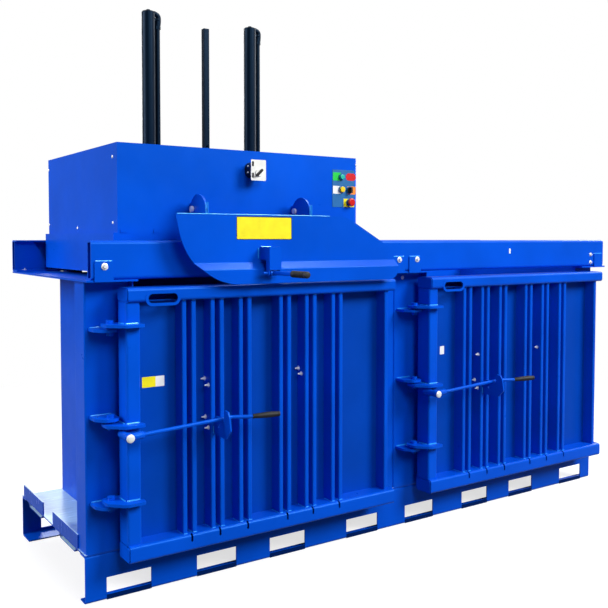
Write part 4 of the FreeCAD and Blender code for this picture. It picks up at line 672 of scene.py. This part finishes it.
def add_levers():
    """Round bar welded into a socket on the pivot's hub, with a spindle-shaped grip at its end."""
    for number, middle in CHAMBERS.items():
        base = middle + LEVER_X
        path = [at(base + x, y, z) for x, y, z in LEVER_PATH]
        bm = bmesh.new()
        turned(bm, [(7.1, -12), (16.6, -12), (18.0, -10.6), (18.0, 10.6), (16.6, 12), (7.1, 12),
                    (7.1, -12)], path[0], FRONT, 36)
        along = (path[1] - path[0]).normalized()
        start = path[0] + along * 15 * MM
        turned(bm, [(7.0, -4), (14.0, -4), (15.0, -3), (15.0, 46), (14.0, 47.5), (8.0, 47.8)],
               start, along)
        swept(bm, [start + along * 30 * MM] + path[1:], LEVER_RADIUS, 18)
        bead(bm, start + along * 47 * MM + Vector((0, 0, 0.0105)),
             start + along * 57 * MM + Vector((0, 0, 0.009)), 2.4)
        bar = finished("lever_%d_bar" % number, bm, "lever_%d" % number, "blue_paint")
        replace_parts(bar, "door_%d_lever" % number)

        along = (path[-1] - path[-2]).normalized()
        length = (path[-1] - path[-2]).length / MM + 3.0
        profile = [(0, 5), (9.6, 5), (10.2, 6.5), (10.2, 11), (9.2, 12), (10.0, 13.5), (9.4, 15),
                   (10.2, 16.5)]
        for share, radius in ((0.25, 11.0), (0.38, 12.0), (0.5, 12.8), (0.6, 13.0), (0.7, 12.7),
                              (0.8, 12.1), (0.88, 11.5)):
            profile.append((radius, 5 + length * share))
        tail = 5 + length
        profile += [(10.6, tail - 9), (11.2, tail - 7.5), (11.0, tail - 3), (9.4, tail - 0.8),
                    (5.0, tail), (0, tail)]
        bm = bmesh.new()
        turned(bm, profile, path[-2], along, 36)
        grip = finished("lever_%d_sleeve" % number, bm, "lever_%d" % number, "black_rubber")
        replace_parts(grip, "door_%d_lever_grip" % number)


def add_hood_edge():
    """The folded top edge of the hood, rounded over, in the paler blue: a painted highlight line."""
    bm = bmesh.new()
    swept(bm, [at(x, -168.5, 1605.5) for x in (-1288, -900, -520)], 2.4, 12, 2)
    finished("hood_edge", bm, "hood", "painted_highlight_paint")


def add_elbows():
    """The bend that takes each oil pipe round to the top of its cylinder."""
    bend = ((12, 2583), (32, 2584), (49, 2574), (52, 2552), (48, 2520))
    y = 472.5
    bm = bmesh.new()
    for x in (-1130.5, -567.5):
        swept(bm, [at(x + out, y, z) for out, z in bend], 13.0)
        turned(bm, [(0, 0), (16.0, 0), (16.0, 14), (0, 14)], at(x + 47, y, 2512), UP, sides=6)
    finished("pipe_elbows", bm, "head", "dark_paint")


# ---- light and floor ----
def add_lights():
    """Six area lamps, placed and sized in metres."""
    def area(name, place, target, width, height, power):
        data = bpy.data.lights.new(name, "AREA")
        data.shape = "RECTANGLE"
        data.size = width
        data.size_y = height
        data.energy = power
        lamp = bpy.data.objects.new(name, data)
        lamp.location = place
        lamp.rotation_euler = (Vector(target) - Vector(place)).to_track_quat("-Z", "Y").to_euler()
        bpy.context.scene.collection.objects.link(lamp)

    area("key", (5.0, -8.2, 7.4), (0.0, 0.0, 1.2), 4.6, 4.6, 1290)
    area("front", (-1.3, -6.6, 5.0), (-0.3, 0.0, 1.1), 3.0, 2.4, 225)
    area("side", (-6.6, 1.6, 3.6), (-1.5, 0.4, 1.2), 3.4, 3.4, 390)
    area("top", (2.0, -0.35, 6.0), (0.6, -0.1, 0.8), 3.2, 0.8, 115)
    area("back", (0.5, 7.2, 4.4), (0.0, 1.0, 1.2), 3.6, 3.0, 300)
    area("right", (6.8, 0.9, 3.6), (1.6, 0.5, 1.1), 3.0, 3.0, 190)


# Shares of full white: what mirror rays see at the horizon and on the floor, and what lights things.
GLOSS_SHARE = 0.08
SKY_LIGHT = 0.06
# How high a mirror ray points where the white ceiling starts, and where it is full.
CEILING_FROM, CEILING_TO = 0.15, 0.6
FLOOR_GLOW = 0.7
FLOOR_HALF = 60.0
# Distances at which the floor starts to turn white, and is white.
FADE_FROM, FADE_TO = 2.2, 5.0


def seen_directly(nodes, links, mirrored=None):
    """1 on camera and see-through rays, a share on mirror rays, 0 on rays that light things."""
    paths = nodes.new("ShaderNodeLightPath")
    gloss = nodes.new("ShaderNodeMath")
    gloss.operation = "MULTIPLY"
    gloss.inputs[1].default_value = GLOSS_SHARE
    if mirrored:
        links.new(mirrored, gloss.inputs[1])
    links.new(paths.outputs["Is Glossy Ray"], gloss.inputs[0])
    either = nodes.new("ShaderNodeMath")
    either.operation = "MAXIMUM"
    links.new(paths.outputs["Is Camera Ray"], either.inputs[0])
    links.new(paths.outputs["Is Transmission Ray"], either.inputs[1])
    any_of = nodes.new("ShaderNodeMath")
    any_of.operation = "MAXIMUM"
    links.new(either.outputs["Value"], any_of.inputs[0])
    links.new(gloss.outputs["Value"], any_of.inputs[1])
    return any_of.outputs["Value"]


def add_world():
    """White where it is seen, and a soft dim sky where it lights things; mirror rays see a white
    ceiling over a dim hall."""
    world = bpy.data.worlds.new("studio")
    bpy.context.scene.world = world
    world.use_nodes = True
    nodes = world.node_tree.nodes
    links = world.node_tree.links
    background = nodes["Background"]
    background.inputs["Color"].default_value = (1.0, 1.0, 1.0, 1.0)
    height = nodes.new("ShaderNodeSeparateXYZ")
    links.new(nodes.new("ShaderNodeTexCoord").outputs["Generated"], height.inputs["Vector"])
    ceiling = nodes.new("ShaderNodeMapRange")
    ceiling.inputs["From Min"].default_value = CEILING_FROM
    ceiling.inputs["From Max"].default_value = CEILING_TO
    ceiling.inputs["To Min"].default_value = GLOSS_SHARE
    links.new(height.outputs["Z"], ceiling.inputs["Value"])
    strength = nodes.new("ShaderNodeMapRange")
    strength.inputs["To Min"].default_value = SKY_LIGHT
    strength.inputs["To Max"].default_value = 1.0
    links.new(seen_directly(nodes, links, ceiling.outputs["Result"]), strength.inputs["Value"])
    links.new(strength.outputs["Result"], background.inputs["Strength"])


def add_floor():
    """Pale floor that keeps the shadow near the machine and turns white away from it."""
    material = bpy.data.materials.new("floor")
    material.use_nodes = True
    nodes = material.node_tree.nodes
    links = material.node_tree.links
    nodes.remove(nodes["Principled BSDF"])
    place = nodes.new("ShaderNodeTexCoord").outputs["Object"]
    grain = nodes.new("ShaderNodeTexNoise")
    grain.inputs["Scale"].default_value = 2.0
    links.new(place, grain.inputs["Vector"])
    tone = nodes.new("ShaderNodeValToRGB")
    tone.color_ramp.elements[0].color = (0.41, 0.41, 0.42, 1.0)
    tone.color_ramp.elements[1].color = (0.44, 0.44, 0.45, 1.0)
    links.new(grain.outputs["Fac"], tone.inputs["Fac"])
    lit = nodes.new("ShaderNodeBsdfDiffuse")
    links.new(tone.outputs["Color"], lit.inputs["Color"])
    dim = nodes.new("ShaderNodeBsdfDiffuse")
    dim.inputs["Color"].default_value = (0.15, 0.15, 0.16, 1.0)
    glow = nodes.new("ShaderNodeEmission")
    glow.inputs["Strength"].default_value = FLOOR_GLOW
    both = nodes.new("ShaderNodeAddShader")
    links.new(lit.outputs["BSDF"], both.inputs[0])
    links.new(glow.outputs["Emission"], both.inputs[1])
    white = nodes.new("ShaderNodeEmission")
    white.inputs["Strength"].default_value = 1.0
    distance = nodes.new("ShaderNodeVectorMath")
    distance.operation = "LENGTH"
    links.new(place, distance.inputs[0])
    fade = nodes.new("ShaderNodeMapRange")
    fade.interpolation_type = "SMOOTHSTEP"
    fade.inputs["From Min"].default_value = FADE_FROM
    fade.inputs["From Max"].default_value = FADE_TO
    links.new(distance.outputs["Value"], fade.inputs["Value"])
    near_far = nodes.new("ShaderNodeMixShader")
    links.new(fade.outputs["Result"], near_far.inputs["Fac"])
    links.new(both.outputs["Shader"], near_far.inputs[1])
    links.new(white.outputs["Emission"], near_far.inputs[2])
    final = nodes.new("ShaderNodeMixShader")
    links.new(seen_directly(nodes, links), final.inputs["Fac"])
    links.new(dim.outputs["BSDF"], final.inputs[1])
    links.new(near_far.outputs["Shader"], final.inputs[2])
    links.new(final.outputs["Shader"], nodes["Material Output"].inputs["Surface"])

    bm = bmesh.new()
    bmesh.ops.create_grid(bm, x_segments=1, y_segments=1, size=FLOOR_HALF)
    mesh = bpy.data.meshes.new("floor")
    bm.to_mesh(mesh)
    bm.free()
    mesh.materials.append(material)
    floor = bpy.data.objects.new("floor", mesh)
    bpy.context.scene.collection.objects.link(floor)


add_camera()
MATERIALS = make_materials()
dress_frame()
add_bolts()
add_beads()
add_plates()
add_fork_window_painted_shadows()
add_labels()
add_latch_grip()
add_isolator_handle()
add_levers()
add_hood_edge()
add_elbows()
add_lights()
add_world()
add_floor()

bpy.context.scene.view_settings.view_transform = "Standard"
